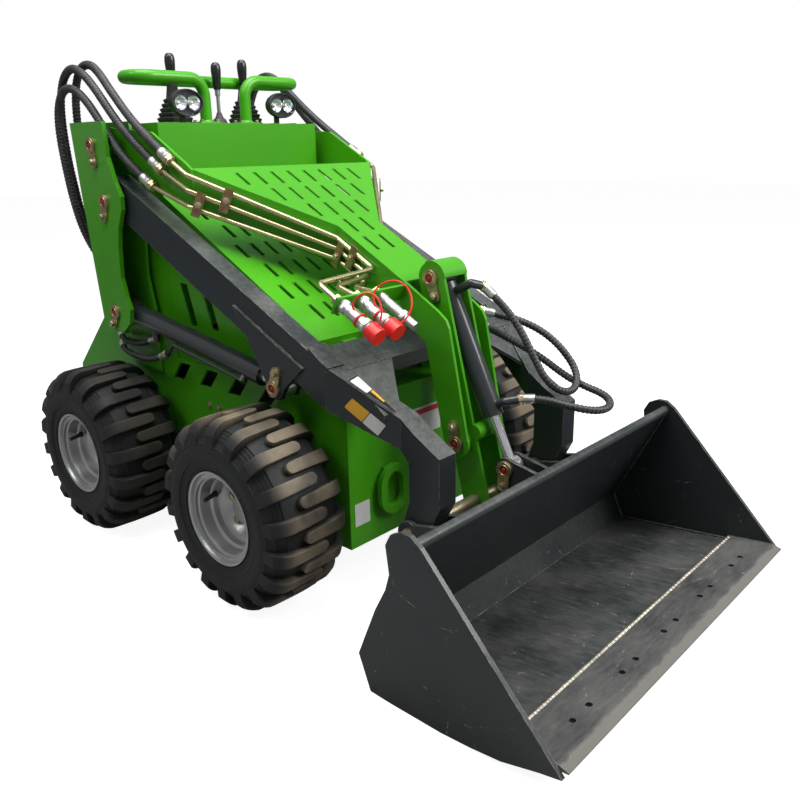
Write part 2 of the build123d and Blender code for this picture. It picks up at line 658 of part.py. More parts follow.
def neck_point(y, drop):
    """Point beside the right neck wall, a drop below the slotted plate's upper face."""
    return (-wall_neck_x, y, plate_height(y) - drop)


# hose, height at the rear corner, drop on the neck, y of the turn outward, next point, coupler's x
right_pipes = ((aux_inner, 966, 28, -85, (-268, -100, 738), coupler_x[0]),
               (aux_middle, 930, 54, -70, (-209, -95, 724), coupler_x[1]),
               (aux_outer, 892, 80, -60, (-148, -92, 712), coupler_x[2]))
pipes = []
for points, corner_z, drop, turn_y, after, end_x in right_pipes:
    nut_base = (coupler_plane * Pos(end_x, 0, -coupler_plate / 2)).position
    nut = Plane(origin=nut_base, z_dir=-coupler_way) * extrude(RegularPolygon(14, 6), nut_length)
    route = [pipe_start(points), (-wall_rear_x, corner_y, corner_z),
             neck_point(33.5, drop), neck_point(turn_y, drop),
             after, tuple(nut_base - coupler_way * (nut_length - 2))]
    pipes.append(pipe(route, pipe_radius, pipe_bend) + nut
                 + stub(points[0], points[1], aux_radius + 1, ferrule_length))
# hose, height at the rear corner, drop on the neck, hose at the other end
left_pipes = ((supply_inner, 966, 28, tilt_upper), (supply_middle, 930, 54, tilt_lower))
for points, corner_z, drop, far_points in left_pipes:
    neck = neck_point(33.5, drop)
    front = neck_point(-150, drop)
    end = Vector(*far_points[-1])
    onward = end - Vector(*far_points[-2])
    leave = end - onward * ((end.X - wall_neck_x - 1) / onward.X)
    route = [pipe_start(points), (wall_rear_x, corner_y, corner_z), (wall_neck_x, neck[1], neck[2]),
             (wall_neck_x, front[1], front[2]), tuple(leave), far_points[-1]]
    pipes.append(pipe(route, pipe_radius, pipe_bend)
                + stub(points[0], points[1], aux_radius + 1, ferrule_length))
save("link_pipes", *pipes)

coupler_outline = [(0, 0), (0, 15), (18, 15), (18, 13.5), (70, 13.5), (70, 16),
                   (84, 16), (84, 12.5), (118, 12.5), (118, 0)]
cap_outline = [(92, 12.8), (92, 20), (122, 20), (122, 0), (118.3, 0), (118.3, 12.8)]
couplers = []
caps = []
for index, x in enumerate(coupler_x):
    across = coupler_plane * Pos(x, 0, coupler_plate / 2)
    outline = coupler_outline
    if index == 2:
        outline = [(along, 0.86 * radius) for along, radius in coupler_outline]
    body = revolve(make_face(Polyline(*[(r, a) for a, r in outline], close=True)), Axis.Y)
    couplers.append(across * Rot(90, 0, 0) * body)
    if index < 2:
        cap = revolve(make_face(Polyline(*[(r, a) for a, r in cap_outline], close=True)), Axis.Y)
        caps.append(across * Rot(90, 0, 0) * cap)
save("quick_couplers", *couplers)
save("coupler_caps", *caps)

nose_tip = (link_nose[0] + 8, link_nose[1] + 40)
nose_shaft = disc(link_nose, pin_radius, -link_neck_outer, link_neck_outer)
nose_pin = nose_shaft + flag_pin(link_nose, nose_tip,
                                     -link_neck_outer, -link_neck_outer + 1, -link_neck_outer, -1)
nose_pin = nose_pin + flag_pin(link_nose, nose_tip, link_neck_outer - 1, link_neck_outer, link_neck_outer, 1)
save("link_nose_pin", nose_pin)

# ---- bracket that carries the tilt cylinder -------------------------------------------
bracket_inner = bracket_outer - bracket_plate


def bracket():
    """Two straight plates, a round bridge over the top pin and a cross tube near the foot."""
    plate = bar([bracket_top, attach_pivot], bracket_radius, bracket_inner, bracket_outer)
    boss = disc(link_nose, 22, bracket_outer - 1, link_neck_outer - link_plate - 1)
    plate = plate + boss
    both = plate + mirrored(plate)
    ring = disc(bracket_top, bracket_radius + 3, -bracket_outer, bracket_outer) \
        - disc(bracket_top, bracket_radius - 4, -bracket_outer - 1, bracket_outer + 1)
    cover = slab([(bracket_top[0] - 60, bracket_top[1] + 6), (bracket_top[0], bracket_top[1]),
                  (bracket_top[0] + 30, bracket_top[1] + 60), (bracket_top[0] - 60, bracket_top[1] + 60)],
                 -bracket_outer, bracket_outer)
    tie = disc((attach_pivot[0] + 8, attach_pivot[1] + 165), 20, -bracket_outer + 1, bracket_outer - 1)
    solid = both + (ring & cover) + tie
    for hole, radius in ((bracket_top, pin_radius), (link_nose, pin_radius + pin_clearance),
                         (attach_pivot, shaft_radius + pin_clearance)):
        solid = solid - disc(hole, radius, -link_neck_outer, link_neck_outer)
    return solid


save("bracket", bracket())
top_tip = (bracket_top[0] - 13, bracket_top[1] - 40)
top_pin = flag_pin(bracket_top, top_tip, -bracket_outer, bracket_outer, -bracket_outer, -1)
top_pin = top_pin + flag_pin(bracket_top, top_tip, bracket_outer - 1, bracket_outer, bracket_outer, 1)
save("bracket_top_pin", top_pin)

# ---- hydraulic cylinders ------------------------------------------------------------


def cylinder_barrel(foot, eye, barrel_radius, barrel_length, x_mid, eye_radius, eye_half, bore):
    """Barrel with its foot eye; open at the rod end, with a round bore for the rod."""
    run = math.dist(foot, eye)
    way = Vector(0, (eye[0] - foot[0]) / run, (eye[1] - foot[1]) / run)
    foot_point = Vector(x_mid, foot[0], foot[1])
    plane = Plane(origin=foot_point + way * (eye_radius * 0.8), z_dir=way)
    barrel = plane * extrude(Circle(barrel_radius), barrel_length)
    end = Plane(origin=foot_point + way * (eye_radius * 0.8 + 12), z_dir=way)
    solid = barrel + disc(foot, eye_radius, x_mid - eye_half, x_mid + eye_half)
    solid = solid - disc(foot, pin_radius + pin_clearance,
                          x_mid - barrel_radius - 1, x_mid + barrel_radius + 1)
    return solid - end * extrude(Circle(bore), barrel_length)


def cylinder_rod(foot, eye, rod_radius, start, x_mid, eye_radius, eye_half):
    """Rod from a distance along the barrel to its eye."""
    run = math.dist(foot, eye)
    way = Vector(0, (eye[0] - foot[0]) / run, (eye[1] - foot[1]) / run)
    foot_point = Vector(x_mid, foot[0], foot[1])
    plane = Plane(origin=foot_point + way * start, z_dir=way)
    solid = plane * extrude(Circle(rod_radius), run - start)
    return solid + disc(eye, eye_radius, x_mid - eye_half, x_mid + eye_half)


arm_mid = arm_outer - arm_width / 2
lift_barrel_length = 560.0
lift_rod_radius = 15.0
lift_barrel = cylinder_barrel(lift_foot, lift_eye, 26, lift_barrel_length, arm_mid, 30, 20,
                              lift_rod_radius + pin_clearance)
lift_fall = (lift_foot[1] - lift_eye[1]) / (lift_foot[0] - lift_eye[0])


def lift_axis(y):
    """Height of the lift cylinder's middle line."""
    return lift_foot[1] - lift_fall * (lift_foot[0] - y)


# ports of the lift cylinder: a block below its rear end, and a pipe below its outer side to its front end
port_radius = 10.0
rear_end = [(-x, y, z) for x, y, z in lift_rear[-1:-3:-1]]
front_end = [(-x, y, z) for x, y, z in lift_front[-1:-3:-1]]
port_rear_y = 507.0
port_front_y = 106.0
lift_pipe_x = arm_mid + 23
lift_pipe_drop = 26.0
port_rear = tube_between((rear_end[0][0], port_rear_y, lift_axis(port_rear_y) - 20),
                         (rear_end[0][0], port_rear_y, rear_end[0][2] - 4), port_radius)
rear_way = (Vector(*rear_end[0]) - Vector(*rear_end[1])).normalized()
front_way = (Vector(*front_end[0]) - Vector(*front_end[1])).normalized()
rear_plane = Plane(origin=Vector(*rear_end[0]), z_dir=rear_way)
port_rear = port_rear + rear_plane * extrude(Circle(lift_hose_radius + 1), 12)
ferrule = Plane(origin=Vector(*front_end[0]), z_dir=front_way) * extrude(Circle(lift_hose_radius + 1), 20)
lift_pipe_start = Vector(*front_end[0]) + front_way * 16
lift_pipe = pipe([tuple(lift_pipe_start), tuple(Vector(*front_end[0]) + front_way * 28),
                  (lift_pipe_x, 392, lift_axis(392) - lift_pipe_drop),
                  (lift_pipe_x, port_front_y, lift_axis(port_front_y) - lift_pipe_drop)], 5, 10)
port_front = tube_between((arm_mid + 14, port_front_y, lift_axis(port_front_y) - 16),
                          (lift_pipe_x + 3, port_front_y,
                           lift_axis(port_front_y) - lift_pipe_drop - 3), port_radius)
lift_barrel = lift_barrel + port_rear + ferrule + lift_pipe + port_front
lift_rod = cylinder_rod(lift_foot, lift_eye, lift_rod_radius, 60, arm_mid, 26, 14)
for side_name, side in (("left", 1), ("right", -1)):
    for piece_name, piece in (("lift_barrel", lift_barrel), ("lift_rod", lift_rod)):
        save(f"{piece_name}_{side_name}", piece if side > 0 else mirrored(piece))

tilt_barrel_length = 325.0
tilt_rod_radius = 12.5
tilt_barrel = cylinder_barrel(bracket_top, tilt_eye, 25, tilt_barrel_length, 0, 26, 20,
                              tilt_rod_radius + pin_clearance)
tilt_run = math.dist(bracket_top, tilt_eye)
tilt_way = Vector(0, (tilt_eye[0] - bracket_top[0]) / tilt_run, (tilt_eye[1] - bracket_top[1]) / tilt_run)
tilt_front = Vector(0, tilt_way.Z, -tilt_way.Y)
# distance along the cylinder, distance of the elbow from its middle line, hose
for along, reach, points in ((44.7, 70, tilt_upper), (323, 45, tilt_lower)):
    on_axis = Vector(0, bracket_top[0], bracket_top[1]) + tilt_way * along
    corner = on_axis + tilt_front * reach
    tilt_barrel = tilt_barrel + tube_between(tuple(on_axis + tilt_front * 19), tuple(corner), port_radius)
    tilt_barrel = tilt_barrel + Pos(corner.X, corner.Y, corner.Z) * Sphere(port_radius)
    hose_way = (Vector(*points[1]) - Vector(*points[0])).normalized()
    fitting_end = Vector(*points[0]) - hose_way * 12
    fitting = Plane(origin=fitting_end, z_dir=hose_way) * extrude(Circle(port_radius), 12)
    tilt_barrel = tilt_barrel + tube_between(tuple(corner), tuple(fitting_end), port_radius) + fitting
    tilt_barrel = tilt_barrel + Pos(fitting_end.X, fitting_end.Y, fitting_end.Z) * Sphere(port_radius)
save("tilt_barrel", tilt_barrel)
tilt_rod = cylinder_rod(bracket_top, tilt_eye, tilt_rod_radius, 78, 0, 24, 13)
save("tilt_rod", tilt_rod)

# ---- quick attach and bucket --------------------------------------------------------
# inner surface of the bucket, as (y, z): lip, rear of the heel, start of the floor, cutting edge
lip = (-578.0, 345.0)
heel_top = (-443.0, 76.0)
floor_rear = (-471.0, 9.0)
blade_rear_y = -front_reach + edge_width
edge_height = 52.0
back_run = math.dist(lip, heel_top)
back_way = ((lip[0] - heel_top[0]) / back_run, (lip[1] - heel_top[1]) / back_run)
back_normal = (back_way[1], -back_way[0])      # points to the rear


def back_point(along, off):
    """Point at a distance up the bucket's back from the heel, and off it to the rear."""
    return (heel_top[0] + back_way[0] * along + back_normal[0] * off,
            heel_top[1] + back_way[1] * along + back_normal[1] * off)


attach_gap = bucket_sheet
attach_thick = 12.0


def quick_attach():
    """Plate against the bucket's back, with ears for the legs and for the tilt rod."""
    plate = slab([back_point(20, attach_gap), back_point(270, attach_gap),
                  back_point(270, attach_gap + attach_thick), back_point(20, attach_gap + attach_thick)],
                 -300, 300)
    ear_low = leg_inner - plate_gap - ear_plate
    ear_high = leg_outer + plate_gap
    ear_outline = [back_point(35, attach_gap + 2), back_point(225, attach_gap + 2),
                   (attach_pivot[0] - 20, attach_pivot[1] + 28),
                   (attach_pivot[0] + 20, attach_pivot[1] + 20),
                   (attach_pivot[0] + 20, attach_pivot[1] - 24)]
    solid = plate
    for x_low in (ear_low, ear_high):
        ear = slab(ear_outline, x_low, x_low + ear_plate) + disc(attach_pivot, 30, x_low, x_low + ear_plate)
        solid = solid + ear + mirrored(ear)
    lever_outline = [back_point(110, attach_gap + 2), back_point(262, attach_gap + 2),
                     (tilt_eye[0] - 10, tilt_eye[1] + 24), (tilt_eye[0] + 24, tilt_eye[1] - 6),
                     (tilt_eye[0] + 4, tilt_eye[1] - 30)]
    lever = slab(lever_outline, 17, 27) + disc(tilt_eye, 27, 17, 27)
    solid = solid + lever + mirrored(lever) - disc(tilt_eye, pin_radius, -30, 30)
    return solid - disc(attach_pivot, shaft_radius + pin_clearance, -300, 300)


save("quick_attach", quick_attach())
tilt_tip = (tilt_eye[0] + 4, tilt_eye[1] - 40)
save("tilt_eye_pins", eye_stub(tilt_eye, tilt_tip, 27, 1, 10), eye_stub(tilt_eye, tilt_tip, -27, -1, 10))


def floor_height(y):
    """Height of the bucket floor's inner surface."""
    fall = (edge_height - floor_rear[1]) / (floor_rear[0] + front_reach)
    return floor_rear[1] + fall * (floor_rear[0] - y)


def bucket():
    """Shell of one bent sheet with two side plates."""
    half = bucket_width / 2
    blade = (blade_rear_y, floor_height(blade_rear_y))
    shell = bent_sheet([blade, floor_rear, heel_top, lip][::-1], bucket_sheet, -half + 1, half - 1)
    lip_bar = disc((lip[0] + 4, lip[1] + 2), 12, -half + 1, half - 1)
    side_outline = [(-front_reach + 6, edge_height - 8), (-855, 35), (-776, 13), (-711, 5), (-643, 0),
                    (-520, 0), (-490, 1), (-466, 2), (heel_top[0] + 6.4, heel_top[1]), (-452, 113),
                     (-485, 191), (-513, 244), (-524, 280), (-516, 337),
                    (-529, 361), (-554, 373), (-577, 373), (-600, 357)]
    side = slab(side_outline, half - bucket_side, half)
    return shell + lip_bar + side + mirrored(side)


save("bucket", bucket())

edge_rear = blade_rear_y + 14
edge_outline = [(-front_reach, edge_height), (-front_reach, edge_height + 3),
                (-front_reach + 24, floor_height(-front_reach + 24) + edge_thickness),
                (edge_rear, floor_height(edge_rear) + edge_thickness), (edge_rear, floor_height(edge_rear))]
edge_half = bucket_width / 2 - bucket_side
edge = slab(edge_outline, -edge_half + 0.5, edge_half - 0.5)
for pair in (-360, -180, 0, 180, 360):
    for offset in (-28, 28):
        edge = edge - (Pos(pair + offset, -front_reach + 60, edge_height) * Cylinder(7, 60))
save("cutting_edge", edge)

# ---- handlebar, levers and lamps ----------------------------------------------------
bar_radius = 16.0
bar_height = 1208.0
bar_half = 269.0
bar_front = 550.0
bar_rear = 645.0
post_x = 68.0


def handlebar():
    """Closed loop of tube, open at the front middle, where its ends turn down to the console."""
    bend = (bar_rear - bar_front) / 2 - 1
    path = FilletPolyline((-post_x, bar_front, console_top), (-post_x, bar_front, bar_height),
                          (-bar_half, bar_front, bar_height), (-bar_half, bar_rear, bar_height),
                          (bar_half, bar_rear, bar_height), (bar_half, bar_front, bar_height),
                          (post_x, bar_front, bar_height), (post_x, bar_front, console_top), radius=bend)
    section = Plane(origin=(-post_x, bar_front, console_top), z_dir=(0, 0, 1)) * Circle(bar_radius)
    return sweep(section, path)


save("handlebar", handlebar())

# x, y, height of the grip's top
levers = ((-125, 615, 1275), (12, 600, 1258), (115, 615, 1272))
sticks = []
boots = []
for lever_x, lever_y, grip_top in levers:
    foot = (lever_x, lever_y, console_top + 50)
    sticks.append(tube_between(foot, (lever_x, lever_y, grip_top - 60), 6)
                  + tube_between((lever_x, lever_y, grip_top - 70), (lever_x, lever_y, grip_top), 14))
    boots.append(Pos(lever_x, lever_y, console_top + 25) * Cone(38, 14, 50))
save("control_levers", *sticks)
save("lever_boots", *boots)

lamps = []
lenses = []
for lamp_x in (-160, 160):
    housing = Pos(lamp_x, 512, 1142) * Rotation(90, 0, 0) * Cylinder(36, 34)
    stalk = tube_between((lamp_x, 518, console_top), (lamp_x, 518, 1110), 8)
    lamps.append(housing + stalk)
    lenses.append(Pos(lamp_x, 493, 1142) * Rotation(90, 0, 0) * Cylinder(30, 4))
save("lamp_housings", *lamps)
save("lamp_lenses", *lenses)
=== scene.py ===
import bpy
import json
import math
from mathutils import Matrix, Vector


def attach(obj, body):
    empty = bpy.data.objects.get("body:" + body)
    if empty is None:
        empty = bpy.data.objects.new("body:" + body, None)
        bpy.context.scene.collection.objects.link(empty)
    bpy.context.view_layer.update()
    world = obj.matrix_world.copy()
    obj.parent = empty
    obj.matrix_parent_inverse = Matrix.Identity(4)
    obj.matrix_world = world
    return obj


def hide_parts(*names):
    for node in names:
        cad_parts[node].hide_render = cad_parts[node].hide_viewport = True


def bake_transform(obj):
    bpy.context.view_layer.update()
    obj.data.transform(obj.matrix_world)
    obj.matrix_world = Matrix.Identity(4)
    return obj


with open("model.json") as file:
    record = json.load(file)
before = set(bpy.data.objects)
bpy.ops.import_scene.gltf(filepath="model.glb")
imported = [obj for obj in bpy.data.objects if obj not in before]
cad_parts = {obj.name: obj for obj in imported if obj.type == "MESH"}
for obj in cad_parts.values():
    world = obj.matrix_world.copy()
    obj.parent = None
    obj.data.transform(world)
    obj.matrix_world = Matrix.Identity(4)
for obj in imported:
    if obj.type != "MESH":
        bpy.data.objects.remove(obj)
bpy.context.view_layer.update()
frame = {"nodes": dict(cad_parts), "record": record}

# ---- camera ----
# Stands in front of the machine's right corner, a little above the hood, and looks down
# on it by some 17 degrees.
scene = bpy.context.scene


def linked(name, data):
    """Object in the scene, from its data."""
    made = bpy.data.objects.new(name, data)
    scene.collection.objects.link(made)
    return made


camera_data = bpy.data.cameras.new("camera")
camera_data.sensor_width = 36
camera_data.lens = 36.40
camera = linked("camera", camera_data)
camera_turn, camera_tip, camera_roll = (math.radians(angle) for angle in (-47.40, 90 - 17.31, -1.13))
camera.matrix_world = (Matrix.Translation((-1.4543, -1.5000, 1.0187))
                       @ Matrix.Rotation(camera_turn, 4, "Z") @ Matrix.Rotation(camera_tip, 4, "X")
                       @ Matrix.Rotation(camera_roll, 4, "Z"))
scene.camera = camera
scene.view_settings.view_transform = "Standard"

# ---- hoses ----
# Two-layer rubber hoses with a spiral guard wound round them. Five go over the towers from the
# deck to the link's pipes, two feed the tilt cylinder and two feed each lift cylinder.
axle_gap = 72  # millimetres from the front axle's line back to the frame's middle
guard_pitch = 0.0095
guard_rise = 0.0012
palette = {finish["slot"]: finish["base_color"] for finish in frame["record"]["materials"]}


def shift(points):
    """Points in millimetres behind the front axle's line, moved to metres in the frame."""
    return [Vector((x / 1000, (y - axle_gap) / 1000, z / 1000)) for x, y, z in points]


def other_side(points):
    return [(-x, y, z) for x, y, z in points]


def clear_selection():
    if bpy.context.object is not None and bpy.context.object.mode != "OBJECT":
        bpy.ops.object.mode_set(mode="OBJECT")
    bpy.ops.object.select_all(action="DESELECT")


def feed(tree, socket, value):
    """Gives an input its value, or wires it to another node's output."""
    if isinstance(value, bpy.types.NodeSocket):
        tree.links.new(value, socket)
    else:
        socket.default_value = value


def add(tree, kind, *values, **named):
    """Shader node: values feed its inputs in order, named ones its properties or inputs."""
    node = tree.nodes.new("ShaderNode" + kind)
    for key, value in named.items():
        if hasattr(node, key):
            setattr(node, key, value)
        else:
            feed(tree, node.inputs[key.replace("_", " ")], value)
    for socket, value in zip(node.inputs, values):
        feed(tree, socket, value)
    return node


def noise(tree, place, scale, detail, roughness=0.5):
    texture = add(tree, "TexNoise", Vector=place, Scale=scale, Detail=detail, Roughness=roughness)
    return texture.outputs["Fac"]


def ramp(tree, value, low, high, to_low=0.0, to_high=1.0):
    """A value's range from low to high, stretched to another."""
    return add(tree, "MapRange", value, low, high, to_low, to_high).outputs[0]


def mixed(tree, share, first, second):
    """Colour between two, of which the first may be an output."""
    if not isinstance(first, bpy.types.NodeSocket):
        first = (*first, 1)
    return add(tree, "Mix", data_type="RGBA", Factor=share, A=first, B=(*second, 1)).outputs["Result"]


def bumped(tree, height, strength, depth, **named):
    return add(tree, "Bump", Strength=strength, Distance=depth, Height=height, **named).outputs[0]


def dress(material, **named):
    """Feeds the inputs of a material's Principled shader."""
    shader = material.node_tree.nodes["Principled BSDF"]
    for key, value in named.items():
        feed(material.node_tree, shader.inputs[key.replace("_", " ")], value)


def lay_over(material, share, colour):
    """Lays a colour over the one that a material has."""
    shader = material.node_tree.nodes["Principled BSDF"]
    under = shader.inputs["Base Color"].links[0].from_socket
    dress(material, Base_Color=mixed(material.node_tree, share, under, colour))


def new_material(name, slot, roughness=0.5, metallic=0.0):
    """Material with a Principled shader in the record's colour for that slot, and its node tree."""
    material = bpy.data.materials.new(name)
    material.use_nodes = True
    dress(material, Base_Color=(*palette[slot], 1), Roughness=roughness, Metallic=metallic)
    return material, material.node_tree


def wound_guard():
    """Black rubber under a spiral guard. The tube's own attribute says what stands proud; the colour follows
    it, the ridges painted lighter as a highlight and the grooves darker as painted shade.
    """
    material, tree = new_material("hose_guard", "hose_black", 0.45)
    proud = add(tree, "Attribute", attribute_name="guard").outputs["Fac"]
    place = add(tree, "TexCoord").outputs["Object"]
    grime = noise(tree, place, 30.0, 4.0)
    dress(material, Base_Color=mixed(tree, proud, (0.006, 0.006, 0.007), (0.036, 0.037, 0.042)),
          Roughness=ramp(tree, grime, 0, 1, 0.34, 0.62),
          Normal=bumped(tree, noise(tree, place, 900.0, 2.0), 0.3, 0.0003))
    lay_over(material, ramp(tree, grime, 0.5, 0.8, 0, 0.35), (0.12, 0.11, 0.10))
    return material


def spline_points(name, points):
    """Points along the smooth line that a hose follows, read from a NURBS spline with no bevel."""
    curve = bpy.data.curves.new(name, "CURVE")
    curve.dimensions = "3D"
    curve.resolution_u = 22
    spline = curve.splines.new("NURBS")
    spline.points.add(len(points) - 1)
    for point, place in zip(spline.points, points):
        point.co = (*place, 1)
    spline.order_u = 3
    spline.use_endpoint_u = True
    line = linked(name, curve)
    bpy.context.view_layer.update()
    mesh = bpy.data.meshes.new_from_object(line)
    bpy.data.objects.remove(line)
    return [vertex.co.copy() for vertex in mesh.vertices]


def wound_tube(name, path, radius, pitch=0, sides=10, rise=0):
    """Closed tube along a path. Given a pitch, a spiral ridge stands out to the radius."""
    along = [0.0]
    for before, after in zip(path, path[1:]):
        along.append(along[-1] + (after - before).length)
    side = (path[1] - path[0]).normalized().orthogonal().normalized()
    verts, faces, ridge = [], [], []
    for step, point in enumerate(path):
        ahead = (path[min(step + 1, len(path) - 1)] - path[max(step - 1, 0)]).normalized()
        side = (side - ahead * side.dot(ahead)).normalized()
        up = ahead.cross(side)
        for spoke in range(sides):
            share = spoke / sides
            wave = math.cos(math.tau * (along[step] / pitch + share)) if pitch else 1
            proud = min(1, max(0, 0.65 + 1.1 * wave))
            reach = radius - rise * (1 - proud)
            angle = math.tau * share
            verts.append(point + (side * math.cos(angle) + up * math.sin(angle)) * reach)
            ridge.append(proud)
    for start in range(0, (len(path) - 1) * sides, sides):
        for spoke in range(sides):
            here, beside = start + spoke, start + (spoke + 1) % sides
            faces.append((here, beside, beside + sides, here + sides))
    faces.append(tuple(range(sides - 1, -1, -1)))
    faces.append(tuple(range((len(path) - 1) * sides, len(path) * sides)))
    mesh = bpy.data.meshes.new(name)
    mesh.from_pydata(verts, [], faces)
    mesh.attributes.new("guard", "FLOAT", "POINT").data.foreach_set("value", ridge)
    mesh.shade_smooth()
    return linked(name, mesh)


aux_outer = [(-325, 476, 961), (-328, 525, 990), (-332, 570, 1025), (-336, 609, 1067), (-339, 645, 1111),
             (-342, 685, 1152), (-345, 733, 1183), (-346, 789, 1187), (-347, 830, 1149), (-347, 845, 1094),
             (-346, 845, 1037), (-344, 840, 979), (-341, 835, 922), (-335, 830, 866), (-325, 824, 810),
             (-306, 817, 756), (-280, 810, 705), (-255, 806, 652), (-255, 806, 595)]
aux_middle = [(-323, 430, 1001), (-325, 481, 1032), (-326, 530, 1066), (-328, 576, 1104), (-327, 621, 1144),
              (-327, 665, 1185), (-327, 713, 1220), (-327, 769, 1240), (-326, 823, 1218), (-326, 855, 1168),
              (-325, 867, 1110), (-324, 867, 1050), (-322, 864, 990), (-317, 860, 931), (-312, 855, 871),
              (-302, 848, 813), (-283, 836, 757), (-255, 821, 707), (-225, 806, 655), (-225, 806, 595)]
aux_inner = [(-321, 388, 1021), (-320, 437, 1050), (-318, 487, 1080), (-315, 534, 1111), (-311, 580, 1145),
             (-308, 625, 1181), (-304, 669, 1218), (-301, 718, 1246), (-300, 774, 1241), (-299, 812, 1200),
             (-299, 828, 1145), (-299, 831, 1088), (-297, 829, 1031), (-295, 825, 973), (-293, 820, 916),
             (-287, 816, 860), (-275, 812, 804), (-252, 809, 751), (-219, 807, 705), (-195, 806, 652),
             (-195, 806, 595)]
tilt_upper = [(36, -334, 706), (52, -369, 672), (60, -410, 622), (59, -446, 568), (59, -486, 508),
              (98, -510, 477), (152, -510, 477), (191, -486, 508), (187, -446, 556), (178, -402, 590),
              (158, -356, 614), (130, -318, 628), (98, -285, 640)]
tilt_lower = [(30, -452, 469), (46, -490, 473), (56, -567, 463), (95, -604, 454), (149, -604, 454),
              (188, -567, 463), (190, -504, 474), (187, -454, 492), (172, -398, 530), (155, -350, 556),
              (133, -304, 582), (108, -260, 606)]
lift_rear = [(-308, 711, 520), (-322, 683, 516), (-326, 640, 512), (-325, 600, 512), (-321, 560, 520),
             (-318, 520, 534)]
lift_front = [(-308, 711, 490), (-322, 684, 485), (-328, 640, 480), (-331, 590, 477), (-333, 540, 478),
              (-334, 490, 487), (-335, 450, 504)]

# bodies at a hose's two ends, and where the bend between them starts and ends
over_tower = ("levelling", "chassis", (-0.32, 0.42, 0.98), (-0.30, 0.73, 0.98))
to_bracket_top = ("tilt_bracket", "levelling", (0.0397, -0.420, 0.6735), (0.1022, -0.420, 0.6610))
to_bracket_foot = ("tilt_bracket", "levelling", (0.0360, -0.560, 0.4700), (0.0968, -0.563, 0.4700))
to_right_lift = ("chassis", "lift_cylinder_right", (-0.32, 0.62, 0.51), (-0.32, 0.46, 0.52))
to_left_lift = ("chassis", "lift_cylinder_left", (0.32, 0.62, 0.51), (0.32, 0.46, 0.52))
rubber_guard = wound_guard()
# node, route, length, diameter, bend
for node, route, length, diameter, (near_body, far_body, bend_start, bend_end) in (
        ("aux_hose_outer", aux_outer, 1.022, 0.022, over_tower),
        ("aux_hose_middle", aux_middle, 1.129, 0.022, over_tower),
        ("aux_hose_inner", aux_inner, 1.137, 0.022, over_tower),
        ("supply_hose_middle", other_side(aux_middle), 1.129, 0.022, over_tower),
        ("supply_hose_inner", other_side(aux_inner), 1.137, 0.022, over_tower),
        ("tilt_hose_upper", tilt_upper, 0.678, 0.018, to_bracket_top),
        ("tilt_hose_lower", tilt_lower, 0.629, 0.018, to_bracket_foot),
        ("lift_hose_rear_right", lift_rear, 0.198, 0.016, to_right_lift),
        ("lift_hose_front_right", lift_front, 0.269, 0.016, to_right_lift),
        ("lift_hose_rear_left", other_side(lift_rear), 0.198, 0.016, to_left_lift),
        ("lift_hose_front_left", other_side(lift_front), 0.269, 0.016, to_left_lift)):
    path = spline_points(node + "_line", shift(route))
    hose = wound_tube(node + "_rubber", path, diameter / 2, guard_pitch, 16, guard_rise)
    hose.data.materials.append(rubber_guard)
    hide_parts(node)
    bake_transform(hose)

# ---- floor and light ----
# A plain pale floor under a white sky, a large soft lamp ahead of the bucket and a wide one
# overhead, so the machine's right side lies in its own soft shade.


def times(tree, first, second, clamped=False):
    return add(tree, "Math", first, second, operation="MULTIPLY", use_clamp=clamped).outputs[0]


clear_selection()
bpy.ops.mesh.primitive_plane_add(size=40, location=(0, 0, 0))
floor = bpy.context.object
floor.name = "floor"
floor_white = bpy.data.materials.new("floor_white")
floor_white.use_nodes = True
seen = add(floor_white.node_tree, "LightPath").outputs["Is Camera Ray"]
dress(floor_white, Base_Color=(0.36, 0.36, 0.36, 1), Roughness=0.9, Specular_IOR_Level=0.1,
      Emission_Color=(1, 1, 1, 1), Emission_Strength=times(floor_white.node_tree, seen, 0.92))
floor.data.materials.append(floor_white)

world = bpy.data.worlds.new("white_sky")
scene.world = world
world.use_nodes = True
tree = world.node_tree
ray = add(tree, "LightPath").outputs
direct = add(tree, "Math", ray["Is Camera Ray"], ray["Is Transmission Ray"], operation="MAXIMUM").outputs[0]
shown = add(tree, "Math", direct, times(tree, ray["Is Glossy Ray"], 0.28), operation="MAXIMUM").outputs[0]
sky = tree.nodes["Background"].inputs
feed(tree, sky["Color"], (1, 1, 1, 1))
feed(tree, sky["Strength"], ramp(tree, shown, 0, 1, 0.14, 1.0))

# place, aim, size, power
for lamp_name, place, aim, size, power in (
        ("front_lamp", (1.9, -3.4, 3.3), (0.0, -0.2, 0.5), 2.2, 180),
        ("roof_lamp", (-0.2, -0.3, 3.7), (0.0, -0.1, 0.4), 2.6, 150),
        ("side_lamp", (-2.7, 0.9, 3.7), (-0.3, 0.3, 0.9), 1.2, 36)):
    lamp_data = bpy.data.lights.new(lamp_name, "AREA")
    lamp_data.size = size
    lamp_data.energy = power
    lamp = linked(lamp_name, lamp_data)
    lamp.location = place
    lamp.rotation_euler = (Vector(aim) - Vector(place)).to_track_quat("-Z", "Y").to_euler()

# ---- chassis and other welded sheet pieces ----
# Bent and welded sheet, powder coated green. The coat is smooth with a slight orange peel,
# its sharpest edges carry a lighter green painted highlight, and it has gathered a little dust low down.


def node_group(name, inputs, outputs):
    """Shader group with named numbers in, at their defaults, and numbers out. Gives its ends too."""
    group = bpy.data.node_groups.new(name, "ShaderNodeTree")
    for socket, value in inputs.items():
        made = group.interface.new_socket(name=socket, in_out="INPUT", socket_type="NodeSocketFloat")
        made.default_value = value
    for socket in outputs:
        group.interface.new_socket(name=socket, in_out="OUTPUT", socket_type="NodeSocketFloat")
    return group, group.nodes.new("NodeGroupInput"), group.nodes.new("NodeGroupOutput")


